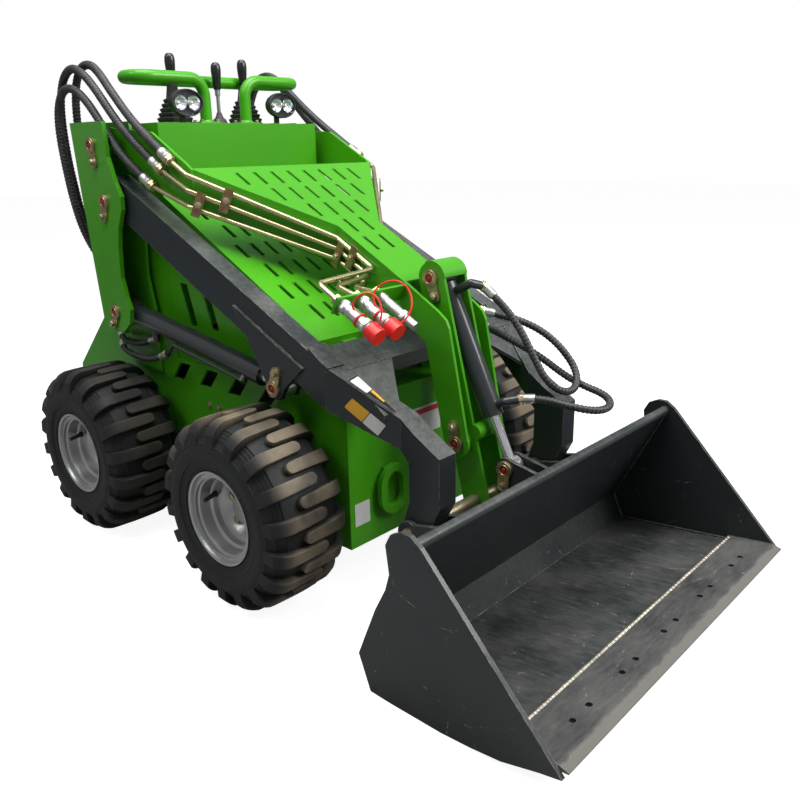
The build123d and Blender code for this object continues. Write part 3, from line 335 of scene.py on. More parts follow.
# edges: a mask that is 1 on sharp outer edges, broken up by noise
edges, start, end = node_group("edge_wear_and_highlight", {"Width": 0.002, "Patchiness": 60.0, "Amount": 0.5}, ["Mask"])
rounded = add(edges, "Bevel", samples=6, Radius=start.outputs["Width"]).outputs[0]
flat = add(edges, "NewGeometry").outputs["Normal"]
likeness = add(edges, "VectorMath", rounded, flat, operation="DOT_PRODUCT").outputs["Value"]
patches = noise(edges, add(edges, "TexCoord").outputs["Object"], start.outputs["Patchiness"], 4.0)
broken = times(edges, ramp(edges, likeness, 0.995, 0.90), ramp(edges, patches, 0.62, 0.40))
feed(edges, end.inputs["Mask"], times(edges, broken, start.outputs["Amount"], True))

# clouds: broad and fine variation over a surface, and dust that thins out with height
clouds, start, end = node_group("surface_clouds", {"Broad": 3.0, "Fine": 90.0, "Dust Height": 0.5},
                                ["Broad", "Fine", "Dust"])
place = add(clouds, "TexCoord").outputs["Object"]
for socket, detail in (("Broad", 3.0), ("Fine", 5.0)):
    feed(clouds, end.inputs[socket], noise(clouds, place, start.outputs[socket], detail))
height = add(clouds, "SeparateXYZ", place).outputs["Z"]
low_down = ramp(clouds, height, 0.0, start.outputs["Dust Height"], 1.0, 0.0)
feed(clouds, end.inputs["Dust"], times(clouds, low_down, noise(clouds, place, 22.0, 6.0), True))


def coated(name, slot, light, deep, bare_and_highlight, roughness, wear_and_highlight, coat=0.25, specular=0.4):
    """Painted steel: two tones of the coat, dust low down, orange peel, and a colour on the sharp edges:
    exposed steel where the dark coats have chipped, and on the green coat a lighter green that is a painted
    highlight.
    """
    material, tree = new_material(name, slot, roughness)
    cloud = add(tree, "Group", node_tree=clouds).outputs
    edge_and_crown_mask = add(tree, "Group", node_tree=edges, Amount=wear_and_highlight).outputs["Mask"]
    softened = add(tree, "Bevel", samples=4, Radius=0.0015).outputs[0]
    dress(material, Base_Color=mixed(tree, cloud["Broad"], deep, light), Metallic=edge_and_crown_mask,
          Roughness=ramp(tree, cloud["Fine"], 0, 1, roughness - 0.07, roughness + 0.10),
          Normal=bumped(tree, cloud["Fine"], 0.25, 0.0006, Normal=softened),
          Coat_Weight=coat, Coat_Roughness=0.12, Specular_IOR_Level=specular)
    lay_over(material, times(tree, cloud["Dust"], 0.12), (0.16, 0.14, 0.10))
    # edge colour: exposed steel on the dark coats, a painted highlight on the green coat
    lay_over(material, edge_and_crown_mask, bare_and_highlight)
    return material


nodes = frame["nodes"]


def finish_nodes(material, *names):
    """Gives CAD nodes their material, where the solid's own shape is right."""
    for name in names:
        nodes[name].data.materials.clear()
        nodes[name].data.materials.append(material)


# the green coat's edge colour, a lighter green, is a painted highlight along its sharp edges
green_coat = coated("green_powder_coat", "body_green", (0.066, 0.370, 0.005), (0.040, 0.262, 0.005),
                    (0.20, 0.34, 0.12), 0.34, 0.35, coat=0.2, specular=0.3)
black_coat = coated("black_satin_coat", "dark_frame", (0.017, 0.023, 0.027), (0.011, 0.016, 0.019),
                    (0.30, 0.30, 0.28), 0.42, 0.5, specular=0.35)
finish_nodes(green_coat, "chassis_frame", "tow_loop", "rear_step")

# ---- engine block ----
# The engine and pump stand inside the chassis, seen only through the side and hood slots.
# Plain cast iron with an oily bloom.


def clouded(name, slot, light, deep, roughness, metallic=0.0, broad=3.0, fine=90.0, toned_by="Broad",
            contrast=None, gloss=None, gloss_by="Fine", bump=None):
    """Two tones mixed in clouds. Gloss is the range of the roughness, bump its strength and depth."""
    material, tree = new_material(name, slot, roughness, metallic)
    cloud = add(tree, "Group", node_tree=clouds, Broad=broad, Fine=fine).outputs
    share = ramp(tree, cloud[toned_by], *contrast) if contrast else cloud[toned_by]
    dress(material, Base_Color=mixed(tree, share, deep, light))
    if gloss:
        dress(material, Roughness=ramp(tree, cloud[gloss_by], 0, 1, *gloss))
    if bump:
        dress(material, Normal=bumped(tree, cloud["Fine"], *bump))
    return material


cast_iron = clouded("cast_iron", "engine_iron", (0.14, 0.135, 0.12), (0.05, 0.05, 0.052), 0.6, 0.3,
                    toned_by="Fine", bump=(0.5, 0.001))
finish_nodes(cast_iron, "engine_block")

# ---- tyres ----
# Wide tubeless tyres, 460 mm over the lugs and 215 mm wide. The carcass is moulded with fine rings on
# its shoulders and sidewalls; eighteen bar lugs with round inner ends run in from each shoulder.
tyre_radius = 0.230
half_tyre = 0.1075
lug_count = 18
lug_height = 0.014
lug_root = 0.004  # how far a lug goes on inside the carcass
lug_start, lug_end = -0.1050, 0.0335
axle_spots = {"front_right": (-0.4175, -0.072), "rear_right": (-0.4175, 0.575),
              "front_left": (0.4175, -0.072), "rear_left": (0.4175, 0.575)}


def open_up():
    """Edit mode with everything selected."""
    bpy.ops.object.mode_set(mode="EDIT")
    bpy.ops.mesh.select_all(action="SELECT")


def close_up():
    """Turns all faces outwards and leaves edit mode."""
    bpy.ops.mesh.select_all(action="SELECT")
    bpy.ops.mesh.normals_make_consistent(inside=False)
    bpy.ops.object.mode_set(mode="OBJECT")


def eased(piece, width, angle=30):
    """Bevels the edges that are sharper than an angle."""
    ease = piece.modifiers.new("ease", "BEVEL")
    ease.width = width
    ease.segments = 2
    ease.angle_limit = math.radians(angle)
    bpy.ops.object.modifier_apply(modifier="ease")


def spun(name, section, steps):
    """Ring of points moved onto a closed section of (x, radius), then spun about the X axis."""
    clear_selection()
    bpy.ops.mesh.primitive_circle_add(vertices=len(section), fill_type="NOTHING")
    piece = bpy.context.object
    piece.name = piece.data.name = name
    for vertex, (x, radius) in zip(piece.data.vertices, section):
        vertex.co = (x, 0, radius)
    open_up()
    bpy.ops.mesh.spin(steps=steps, angle=math.tau, center=(0, 0, 0), axis=(1, 0, 0))
    bpy.ops.mesh.select_all(action="SELECT")
    bpy.ops.mesh.remove_doubles(threshold=0.00002)
    bpy.ops.mesh.dissolve_degenerate(threshold=0.00002)
    close_up()
    return piece


def settle(piece, matrix=Matrix.Identity(4)):
    """Moves a piece's place into its mesh and leaves its object at the origin."""
    piece.data.transform(matrix @ piece.matrix_basis)
    piece.matrix_basis = Matrix.Identity(4)
    return piece


def copy_of(piece, name, matrix):
    """Copy with its own mesh, turned or moved."""
    twin = piece.copy()
    twin.data = piece.data.copy()
    twin.name = twin.data.name = name
    scene.collection.objects.link(twin)
    twin.data.transform(matrix)
    return twin


def joined(pieces, name):
    """One object from several."""
    clear_selection()
    for piece in pieces:
        piece.select_set(True)
    bpy.context.view_layer.objects.active = pieces[0]
    bpy.ops.object.join()
    pieces[0].name = pieces[0].data.name = name
    return pieces[0]


def discard(*patterns):
    """Removes pieces that others were copied from."""
    for pattern in patterns:
        bpy.data.objects.remove(pattern)


def finished(piece, material, body, replaced=(), angle=35):
    """Shades a piece, gives it its material and fixes it to the body that carries it."""
    clear_selection()
    piece.select_set(True)
    bpy.context.view_layer.objects.active = piece
    bpy.ops.object.shade_smooth_by_angle(angle=math.radians(angle))
    piece.data.materials.clear()
    piece.data.materials.append(material)
    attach(piece, body)
    if replaced:
        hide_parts(*replaced)


def turned(angle, axis):
    """Turn by degrees about an axis."""
    return Matrix.Rotation(math.radians(angle), 4, axis)


def half_turn(x):
    """Turns what was made for the machine's right round to face out on its left."""
    return turned(180, "Z") if x > 0 else Matrix.Identity(4)


def crown(x):
    """Radius over the lugs at a distance from the tyre's middle."""
    reach = min(1.0, abs(x) / half_tyre)
    return tyre_radius - 0.004 * reach ** 2 - 0.030 * max(0.0, (reach - 0.62) / 0.38) ** 2


def from_to(value, low, high):
    """0 at low, 1 at high."""
    return min(1.0, max(0.0, (value - low) / (high - low)))


shoulder = [(0.0, 0.2155), (0.020, 0.2153), (0.040, 0.2140), (0.056, 0.2118), (0.066, 0.2093),
            (0.0675, 0.2108), (0.0695, 0.2100), (0.0705, 0.2070), (0.0735, 0.2052), (0.0745, 0.2070),
            (0.0765, 0.2058), (0.0775, 0.2028), (0.0805, 0.2006), (0.0815, 0.2023), (0.0835, 0.2008),
            (0.0845, 0.1978), (0.0875, 0.1950), (0.0885, 0.1965), (0.0905, 0.1948), (0.0915, 0.1915),
            (0.0975, 0.1840), (0.1015, 0.1780), (0.1030, 0.1780), (0.1040, 0.1755), (0.1035, 0.1735),
            (0.1060, 0.1690), (0.1070, 0.1600), (0.1066, 0.1500), (0.1045, 0.1410), (0.1052, 0.1402),
            (0.1046, 0.1386), (0.1028, 0.1382), (0.1000, 0.1300), (0.0985, 0.1235), (0.0992, 0.1222),
            (0.0986, 0.1205), (0.0970, 0.1200), (0.0960, 0.1150), (0.0900, 0.1125), (0.0900, 0.0960)]
carcass = spun("tyre_carcass", [(-x, radius) for x, radius in shoulder[::-1]] + shoulder[1:], 108)
clear_selection()
bpy.ops.mesh.primitive_grid_add(x_subdivisions=16, y_subdivisions=6, size=1)
lug = bpy.context.object
for vertex in lug.data.vertices:
    along = vertex.co.x + 0.5
    x = lug_start + (lug_end - lug_start) * (1 - (1 - along) ** 1.35)
    half_width = 0.0146 + 0.0026 * (1 - along)
    to_end = (lug_end - x) / 0.0135
    if to_end < 1:
        half_width *= math.sqrt(max(0.004, 1 - (1 - to_end) ** 2))
    vertex.co = (x, vertex.co.y * 2 * half_width + 0.006 * (along - 0.5), -lug_root)
open_up()
bpy.ops.mesh.extrude_region_move(TRANSFORM_OT_translate={"value": (0, 0, lug_height + lug_root)})
bpy.ops.transform.resize(value=(0.975, 0.88, 1), center_override=(-0.037, 0, 0))
close_up()
eased(lug, 0.0018, 50)
# this mask is 1 on the lugs' crowns and fades towards the shoulder; the rubber paints a brownish highlight
# there
edge_and_crown_mask = [from_to(vertex.co.z, 0.8 * lug_height, lug_height) * from_to(abs(vertex.co.x), 0.092, 0.052)
        for vertex in lug.data.vertices]
for vertex in lug.data.vertices:
    x, round_way, height = vertex.co
    under = max(reach for place, reach in shoulder if place >= abs(x)) - 0.003
    radius = under + (crown(x) - under) * (height + lug_root) / (lug_height + lug_root)
    angle = round_way / crown(x)
    vertex.co = (x, radius * math.sin(angle), radius * math.cos(angle))
lug.data.attributes.new("edge_and_crown_mask", "FLOAT", "POINT").data.foreach_set("value", edge_and_crown_mask)
carcass.data.attributes.new("edge_and_crown_mask", "FLOAT", "POINT")
lugs = []
for index in range(lug_count):
    for share, side in ((index, -1), (index + 0.5, 1)):
        round_axle = Matrix.Rotation(math.tau * share / lug_count, 4, "X")
        lugs.append(copy_of(lug, "lug", round_axle @ half_turn(side)))
tyre = joined([carcass] + lugs, "tyre")


def tyre_rubber(name, least, most):
    """Black rubber whose lug crowns carry a painted brownish highlight in patches, between a least and a
    most share.
    """
    material, tree = new_material(name, "tyre_rubber", 0.7)
    cloud = add(tree, "Group", node_tree=clouds, Broad=9.0, Fine=70.0).outputs
    crowns = add(tree, "Attribute", attribute_name="edge_and_crown_mask").outputs["Fac"]
    crown_sheen = times(tree, crowns, ramp(tree, cloud["Broad"], 0.34, 0.62, least, most))
    dress(material, Base_Color=mixed(tree, crown_sheen, (0.009, 0.0105, 0.0115), (0.195, 0.158, 0.108)),
          Roughness=ramp(tree, cloud["Fine"], 0, 1, 0.46, 0.72), Specular_IOR_Level=0.28,
          Normal=bumped(tree, cloud["Fine"], 0.3, 0.0007))
    lay_over(material, times(tree, cloud["Fine"], 0.16), (0.06, 0.055, 0.046))
    return material


# the front tyres get a strong painted highlight on their crowns and the rear ones only a faint one: lit and
# shaded copies of one rubber
front_rubber_lit = tyre_rubber("tyre_rubber", 0.15, 1.0)
rear_rubber_shaded = tyre_rubber("rear_tyre_rubber_shaded", 0.0, 0.22)
wheel_places = {}
for spot, (x, y) in axle_spots.items():
    wheel_places[spot] = Matrix.Translation((x, y, tyre_radius)) @ half_turn(x)
    rubber = rear_rubber_shaded if "rear" in spot else front_rubber_lit
    finished(copy_of(tyre, "tyre_" + spot + "_moulded", wheel_places[spot]), rubber, "wheel_" + spot,
             ("tyre_" + spot,), angle=42)
discard(lug, tyre)

# ---- rims ----
# Pressed and rolled steel rims, sprayed silver. The dish steps in three times to the disc, which five
# plated bolts hold to the hub. A rubber valve stands in the outer step.
bolt_count = 5
bolt_circle = 0.0475
dish = [(-0.0985, 0.1117), (-0.0985, 0.1098), (-0.0970, 0.1062), (-0.0935, 0.1050), (-0.0880, 0.1040),
        (-0.0850, 0.1005), (-0.0840, 0.0950), (-0.0810, 0.0912), (-0.0740, 0.0896), (-0.0620, 0.0888),
        (-0.0560, 0.0872), (-0.0535, 0.0830), (-0.0515, 0.0806), (-0.0440, 0.0792), (-0.0390, 0.0775),
        (-0.0365, 0.0700), (-0.0345, 0.0665), (-0.0300, 0.0610), (-0.0200, 0.0540), (-0.0150, 0.0480),
        (-0.0145, 0.0400), (-0.0260, 0.0385), (-0.0300, 0.0350), (-0.0300, 0.0),
        (-0.0050, 0.0), (-0.0050, 0.0500), (-0.0200, 0.0700), (-0.0280, 0.0850),
        (0.0980, 0.0870), (0.0985, 0.1115), (0.0905, 0.1115), (0.0905, 0.0955), (-0.0905, 0.0955),
        (-0.0905, 0.1117)]
rim = spun("rim_dish", dish, 96)


def hexagon(radius, depth, x, chamfer):
    """Six-sided nut or head along X, its middle at x, with its edges eased."""
    clear_selection()
    bpy.ops.mesh.primitive_cylinder_add(vertices=6, radius=radius, depth=depth, location=(x, 0, 0),
                                        rotation=(0, math.pi / 2, 0))
    piece = bpy.context.object
    eased(piece, chamfer)
    return settle(piece)


def hex_bolt(name, across, height, washer):
    """Plated hexagon bolt along X, its head towards -X and its washer's back at x = 0."""
    under_head = -0.0012
    disc = spun(name, [(0, 0), (0, washer), (under_head, washer), (under_head, 0)], 20)
    head = hexagon(across / 1.732, height, under_head - height / 2, across * 0.05)
    return joined([disc, head], name)


def plated(name, slot, light, deep, roughness, scale, dents=0.2):
    """Plated metal: two tones in clouds, uneven gloss and fine scratches."""
    return clouded(name, slot, light, deep, roughness, 0.9, scale, 300.0 if dents else 12.0,
                   contrast=(0.35, 0.65), gloss=(roughness - 0.08, roughness + 0.12), bump=(dents, 0.0003))


wheel_bolt = hex_bolt("wheel_bolt", 0.017, 0.010, 0.012)
bolts = []
for index in range(bolt_count):
    angle = math.tau * (index + 0.3) / bolt_count
    spot = Matrix.Translation((-0.0165, bolt_circle * math.cos(angle), bolt_circle * math.sin(angle)))
    bolts.append(copy_of(wheel_bolt, "wheel_bolt", spot))
wheel_bolts = joined(bolts, "wheel_bolts")
valve = spun("valve", [(0, 0), (0, 0.0085), (-0.004, 0.008), (-0.010, 0.0055), (-0.030, 0.0048),
                       (-0.031, 0.0042), (-0.031, 0.0052), (-0.040, 0.0052), (-0.041, 0.004),
                       (-0.041, 0)], 18)
settle(valve, turned(-72, "X") @ Matrix.Translation((-0.046, 0.0, 0.079)) @ Matrix.Rotation(-0.25, 4, "Y"))
rim_silver = clouded("rim_silver_paint", "rim_silver", (0.52, 0.53, 0.52), (0.30, 0.31, 0.31), 0.36, 0.75,
                     broad=14.0, gloss=(0.28, 0.46), bump=(0.2, 0.0004))
tree = rim_silver.node_tree
dust = add(tree, "Group", node_tree=clouds, Dust_Height=0.4).outputs["Dust"]
lay_over(rim_silver, times(tree, dust, 0.35), (0.16, 0.15, 0.12))
bolt_zinc = plated("bolt_zinc", "yellow_zinc", (0.62, 0.54, 0.36), (0.38, 0.33, 0.22), 0.34, 30.0)
black_moulding = clouded("black_moulding", "black_plastic", (0.020, 0.020, 0.022), (0.008, 0.008, 0.009),
                         0.42, fine=500.0, bump=(0.3, 0.0003))
for spot, place in wheel_places.items():
    finished(copy_of(rim, "rim_" + spot + "_rolled", place), rim_silver, "wheel_" + spot,
             ("rim_" + spot,), angle=30)
    finished(copy_of(wheel_bolts, "wheel_bolts_" + spot, place), bolt_zinc, "wheel_" + spot)
    finished(copy_of(valve, "valve_" + spot, place), black_moulding, "wheel_" + spot)
discard(rim, wheel_bolts, valve, wheel_bolt)
finish_nodes(black_coat, "axle_hubs")

# ---- hood and console ----
# The hood is one folded sheet with three rows of slots, bolted down at its foot. The console stands
# behind it, a welded box that carries the levers and the handlebar.
finish_nodes(green_coat, "engine_hood", "console")


def at(x, y, z):
    """Move to a place in millimetres behind the front axle's line."""
    return Matrix.Translation(shift([(x, y, z)])[0])


def aimed(way, front=(-1, 0, 0)):
    """Turn that points a piece's front along way."""
    return Vector(front).rotation_difference(Vector(way).normalized()).to_matrix().to_4x4()


def hex_row(name, spots, way, size, body):
    """Bolts at points on a face, their heads standing out along way."""
    pattern = hex_bolt(name + "_pattern", size, size * 0.55, size * 0.75)
    row = joined([copy_of(pattern, name, at(*spot) @ aimed(way)) for spot in spots], name)
    discard(pattern)
    finished(row, bolt_zinc, body)


hex_row("handlebar_foot_bolts", [(x + dx, 550 + dy, 1096.5) for x in (-68, 68) for dx in (-26, 26)
                                 for dy in (-16, 16)], (0, 0, 1), 0.009, "chassis")
hex_row("chassis_side_bolts", [(-278, 300, 372), (-278, 345, 372)], (-1, 0, 0), 0.012, "chassis")

# ---- handlebar ----
# Bent from 32 mm tube, painted green, its two ends welded to flat foot plates that are
# bolted to the console.
finish_nodes(green_coat, "handlebar")


def plate(name, low, high, edge, corner=0.0):
    """Flat plate between two opposite corners in millimetres, with its edges eased."""
    clear_selection()
    low, high = shift([low, high])
    size = high - low
    bpy.ops.mesh.primitive_cube_add(size=1, location=(low + high) / 2, scale=size)
    piece = bpy.context.object
    piece.name = piece.data.name = name
    bpy.ops.object.transform_apply(location=True, rotation=True, scale=True)
    if corner:
        thin = min(range(3), key=lambda axis: size[axis])
        bpy.ops.object.mode_set(mode="EDIT")
        bpy.ops.mesh.select_mode(type="EDGE")
        bpy.ops.object.mode_set(mode="OBJECT")
        for edge_line in piece.data.edges:
            a, b = (piece.data.vertices[v].co for v in edge_line.vertices)
            edge_line.select = abs((a - b)[thin]) > 1e-6
        bpy.ops.object.mode_set(mode="EDIT")
        bpy.ops.mesh.bevel(offset=corner / 1000, segments=5, affect="EDGES")
        bpy.ops.object.mode_set(mode="OBJECT")
    eased(piece, edge / 1000, 50)
    return piece


feet = []
for x in (-68, 68):
    feet.append(plate("foot", (x - 34, 526, 1091), (x + 34, 574, 1097), 0.8, 6))
    collar = spun("weld", [(0.0, 0.0155), (0.0, 0.0215), (-0.003, 0.0195), (-0.006, 0.0155)], 28)
    feet.append(settle(collar, at(x, 550, 1096.5) @ turned(90, "Y")))
finished(joined(feet, "handlebar_feet"), green_coat, "chassis")

# ---- levers ----
# Two drive levers stand in square moulded bellows and the third comes out of a round collar. Each is a
# plain rod with a long drop-shaped grip screwed on.
rod_foot = 1100
boot_foot = 1091.5
grip_section = [(0.0, 0.0), (0.0, 0.0085), (0.002, 0.0100), (0.010, 0.0108), (0.025, 0.0122),
                (0.040, 0.0135), (0.052, 0.0140), (0.062, 0.0132), (0.068, 0.0108), (0.0715, 0.0070),
                (0.0725, 0.0)]
rod_steel = plated("rod_steel", "chrome_rod", (0.52, 0.52, 0.54), (0.36, 0.36, 0.38), 0.28, 20.0)
upright = turned(-90, "Y")
grips, rods, boots = [], [], []
# a rod ends 70 mm below the top of its grip
for x, y, top in ((-125, 615, 1275), (12, 600, 1258), (115, 615, 1272)):
    grips.append(settle(spun("grip", grip_section, 28), at(x, y, top - 72.6) @ upright))
    length = (top - 70 - rod_foot) / 1000
    rod = spun("rod", [(0, 0), (0, 0.005), (length - 0.02, 0.005), (length - 0.018, 0.0075),
                       (length, 0.0075), (length, 0)], 16)
    rods.append(settle(rod, at(x, y, rod_foot) @ upright))
gloss_black = clouded("grip_black", "black_plastic", (0.018, 0.018, 0.020), (0.006, 0.006, 0.007), 0.22,
                      broad=40.0, toned_by="Fine", gloss=(0.14, 0.36), gloss_by="Broad")
finished(joined(grips, "lever_grips"), gloss_black, "chassis", ("control_levers",))
finished(joined(rods, "lever_rods"), rod_steel, "chassis")
# height of each step of the bellows and how much it widens or narrows
boot_steps = [(0.005, 1.0)]
for waist, fold in ((0.90, 1.07), (0.84, 1.08), (0.81, 1.09), (0.78, 1.10), (0.74, 1.12)):
    boot_steps += [(0.003, waist), (0.006, fold), (0.003, 1.0)]
boot_steps += [(0.003, 0.70), (0.016, 0.86), (0.018, 0.84), (0.003, 1.05), (0.003, 0.9)]
for x, y in ((-125, 615), (115, 615)):
    clear_selection()
    bpy.ops.mesh.primitive_circle_add(vertices=4, radius=0.0552, fill_type="NGON")
    boot = bpy.context.object
    boot.name = "boot"
    boot.data.transform(turned(45, "Z"))
    open_up()
    bpy.ops.mesh.bevel(offset=0.011, segments=4, affect="VERTICES")
    for rise_by, scale_by in boot_steps:
        bpy.ops.mesh.extrude_region_move(TRANSFORM_OT_translate={"value": (0, 0, rise_by)})
        bpy.ops.transform.resize(value=(scale_by, scale_by, 1), center_override=(0, 0, 0))
    close_up()
    boots.append(settle(boot, at(x, y, boot_foot)))
collar = spun("collar", [(0, 0), (0, 0.026), (0.004, 0.026), (0.006, 0.022), (0.014, 0.018), (0.020, 0.011),
                         (0.030, 0.0075), (0.034, 0.0055), (0.034, 0)], 28)
boots.append(settle(collar, at(12, 600, boot_foot) @ upright))
boot_rubber = clouded("boot_rubber", "black_plastic", (0.036, 0.035, 0.034), (0.010, 0.010, 0.011), 0.62,
                      toned_by="Fine", bump=(0.3, 0.0005))
finished(joined(boots, "lever_bellows"), boot_rubber, "chassis", ("lever_boots",), angle=40)

# ---- lamps ----
# Two oval work lamps with cast black housings, each on a bent bracket. Behind the clear lens
# sit two bright bowls, each with a small emitter.
forwards = turned(90, "Z")
oval = forwards @ Matrix.Diagonal((1, 0.048, 0.034, 1))
housings, bowls, lenses, emitters = [], [], [], []
for x in (-160, 160):
    spot = at(x, 497, 1142)
    shell = spun("lamp_shell", [(-0.001, 0.90), (-0.004, 0.94), (-0.004, 0.99), (-0.001, 1.02),
                                (0.012, 1.02), (0.013, 0.97), (0.017, 0.97), (0.018, 0.92), (0.022, 0.92),
                                (0.023, 0.84), (0.027, 0.84), (0.028, 0.74), (0.032, 0.74), (0.033, 0.60),
                                (0.038, 0.52), (0.040, 0.0), (0.012, 0.0), (0.012, 0.86)], 56)
    housings.append(settle(shell, spot @ oval))
    housings.append(plate("lamp_bracket", (x - 9, 524, 1091), (x + 9, 528, 1145), 0.8))
    housings.append(plate("lamp_foot", (x - 9, 524, 1091), (x + 9, 552, 1095), 0.8))
    for side in (-0.020, 0.020):
        bowl_spot = spot @ Matrix.Translation((side, 0, 0)) @ forwards
        bowl = spun("bowl", [(-0.001, 0.0185), (0.001, 0.0178), (0.007, 0.0125), (0.010, 0.0060),
                             (0.0105, 0.0), (0.0115, 0.0), (0.0110, 0.0070), (0.0080, 0.0135),
                             (0.0005, 0.0195)], 32)
        bowls.append(settle(bowl, bowl_spot))
        emitter = spun("emitter", [(0.0105, 0.0), (0.0105, 0.0045), (0.0080, 0.0045), (0.0070, 0.0030),
                                   (0.0065, 0.0)], 18)
        emitters.append(settle(emitter, bowl_spot))
    lens = spun("lens", [(-0.0030, 0.0), (-0.0030, 0.60), (-0.0022, 0.88), (-0.0008, 0.915),
                         (-0.0006, 0.60), (-0.0006, 0.0)], 48)
    lenses.append(settle(lens, spot @ oval))
finished(joined(housings, "lamp_castings"), black_moulding, "chassis", ("lamp_housings",))
bright = plated("reflector_bright", "chrome_rod", (0.86, 0.87, 0.88), (0.72, 0.73, 0.75), 0.16, 60.0)
finished(joined(bowls, "lamp_bowls"), bright, "chassis")
emitter_yellow = plated("emitter_face", "lens_glass", (0.75, 0.72, 0.50), (0.62, 0.60, 0.42), 0.4, 90.0)
finished(joined(emitters, "lamp_emitters"), emitter_yellow, "chassis")
clear, tree = new_material("lens_clear", "lens_glass", 0.03)
smears = noise(tree, add(tree, "TexCoord").outputs["Object"], 60.0, 3.0)
dress(clear, Transmission_Weight=1.0, IOR=1.3, Roughness=ramp(tree, smears, 0, 1, 0.01, 0.10))
finished(joined(lenses, "lamp_covers"), clear, "chassis", ("lamp_lenses",))

# ---- towers and their pins ----
# Each tower is two green plates welded up from the chassis. Their pins are held by zinc
# flag plates: a ring round the pin's greased red end and a keeper bolt in the tip.
flag_thickness = 5
finish_nodes(green_coat, "tower_left", "tower_right")
flag_zinc = plated("flag_zinc", "bronze_fitting", (0.50, 0.40, 0.24), (0.30, 0.22, 0.12), 0.36, 45.0)
finish_nodes(flag_zinc, "tower_pins", "lift_eye_pins", "tilt_eye_pins", "link_nose_pin", "bracket_top_pin")
primer = coated("red_primer", "cap_red", (0.42, 0.020, 0.014), (0.20, 0.014, 0.010), (0.3, 0.2, 0.12),
                0.40, 0.3, coat=0.1)
pin_ring = spun("pin_ring", [(0.0, 0.0100), (0.0, 0.0200), (-0.0022, 0.0200), (-0.0030, 0.0192),
                             (-0.0030, 0.0135), (-0.0042, 0.0130), (-0.0042, 0.0108), (-0.0034, 0.0100)], 40)
pin_end = spun("pin_end", [(0.0, 0.0), (0.0, 0.0102), (-0.0010, 0.0102), (-0.0010, 0.0060),
                           (-0.0034, 0.0055), (-0.0046, 0.0036), (-0.0046, 0.0)], 24)
keeper = hex_bolt("keeper", 0.0150, 0.0080, 0.0112)

# by body: centre (y, z), keeper bolt (y, z), outer face of the plate that the flag lies on
pin_table = {"chassis": (((649, 1040), (641, 998), 362), ((614, 898), (624, 860), 362),
                         ((626, 604), (640, 572), 362)),
             "lift_arms": (((-23, 502), (-35, 540), 348),),
             "levelling": (((-331, 362), (-323, 402), 72),),
             "tilt_bracket": (((-233, 733), (-246, 693), 42),),
             "bucket_group": (((-439, 311), (-435, 271), 27),)}
for body, pins in pin_table.items():
    rings, ends, keepers = [], [], []
    for pin_centre, bolt_centre, face in pins:
        for side in (-1, 1):
            x = side * (face + flag_thickness)
            rings.append(copy_of(pin_ring, "ring", at(x, *pin_centre) @ half_turn(side)))
            ends.append(copy_of(pin_end, "end", at(x, *pin_centre) @ half_turn(side)))
            keepers.append(copy_of(keeper, "keeper", at(x, *bolt_centre) @ half_turn(side)))
    finished(joined(rings, "pin_rings_" + body), flag_zinc, body)
    finished(joined(ends, "pin_ends_" + body), primer, body)
    finished(joined(keepers, "keepers_" + body), bolt_zinc, body)
discard(pin_ring, pin_end, keeper)

# ---- lift arms ----
# Box-section arms, cranked inwards at the front and tied by a bent cross plate. Satin black, with
# lighter grey streaks on their upper faces: partly scuffs where boots and loads rub, partly painted light
# from above.


def scuffed_and_top_lit(name, slot, light, deep, scuff_and_top_light, amount, stretch=(1.0, 1.0, 1.0), roughness=0.42, scores=0.0):
    """Coated black steel, streaked lighter grey on the faces that look up, partly scuffs and partly painted
    light from above, and scored by loads.
    """
    material = coated(name, slot, light, deep, (0.40, 0.38, 0.33), roughness, 0.9, coat=0.15)
    tree = material.node_tree
    place = add(tree, "TexCoord").outputs["Object"]
    along = add(tree, "Mapping", Vector=place, Scale=stretch).outputs[0]
    streaks = noise(tree, along, 70.0, 9.0, 0.75)
    both = add(tree, "Math", streaks, noise(tree, place, 7.0, 4.0), operation="ADD").outputs[0]
    normal = add(tree, "NewGeometry").outputs["Normal"]
    # faces that look up are streaked lighter: partly scuffs, partly painted light from above
    looks_up = ramp(tree, add(tree, "SeparateXYZ", normal).outputs["Z"], 0.15, 0.8)
    lay_over(material, times(tree, ramp(tree, both, 0.80, 1.30, 0, amount), looks_up), scuff_and_top_light)
    lines = add(tree, "TexVoronoi", feature="DISTANCE_TO_EDGE", Vector=place, Scale=7.0, Randomness=1.0)
    thin = ramp(tree, lines.outputs["Distance"], 0.007, 0.002)
    here_and_there = ramp(tree, streaks, 0.54, 0.64, 0, scores)
    lay_over(material, times(tree, thin, here_and_there), (0.42, 0.40, 0.36))
    return material


arm_black = scuffed_and_top_lit("arm_black", "dark_frame", (0.017, 0.023, 0.027), (0.011, 0.016, 0.019),
                    (0.125, 0.13, 0.12), 0.9)
finish_nodes(arm_black, "arm_left", "arm_right", "arm_cross_member")
finish_nodes(bolt_zinc, "attach_shaft")
film_thickness = 0.0004


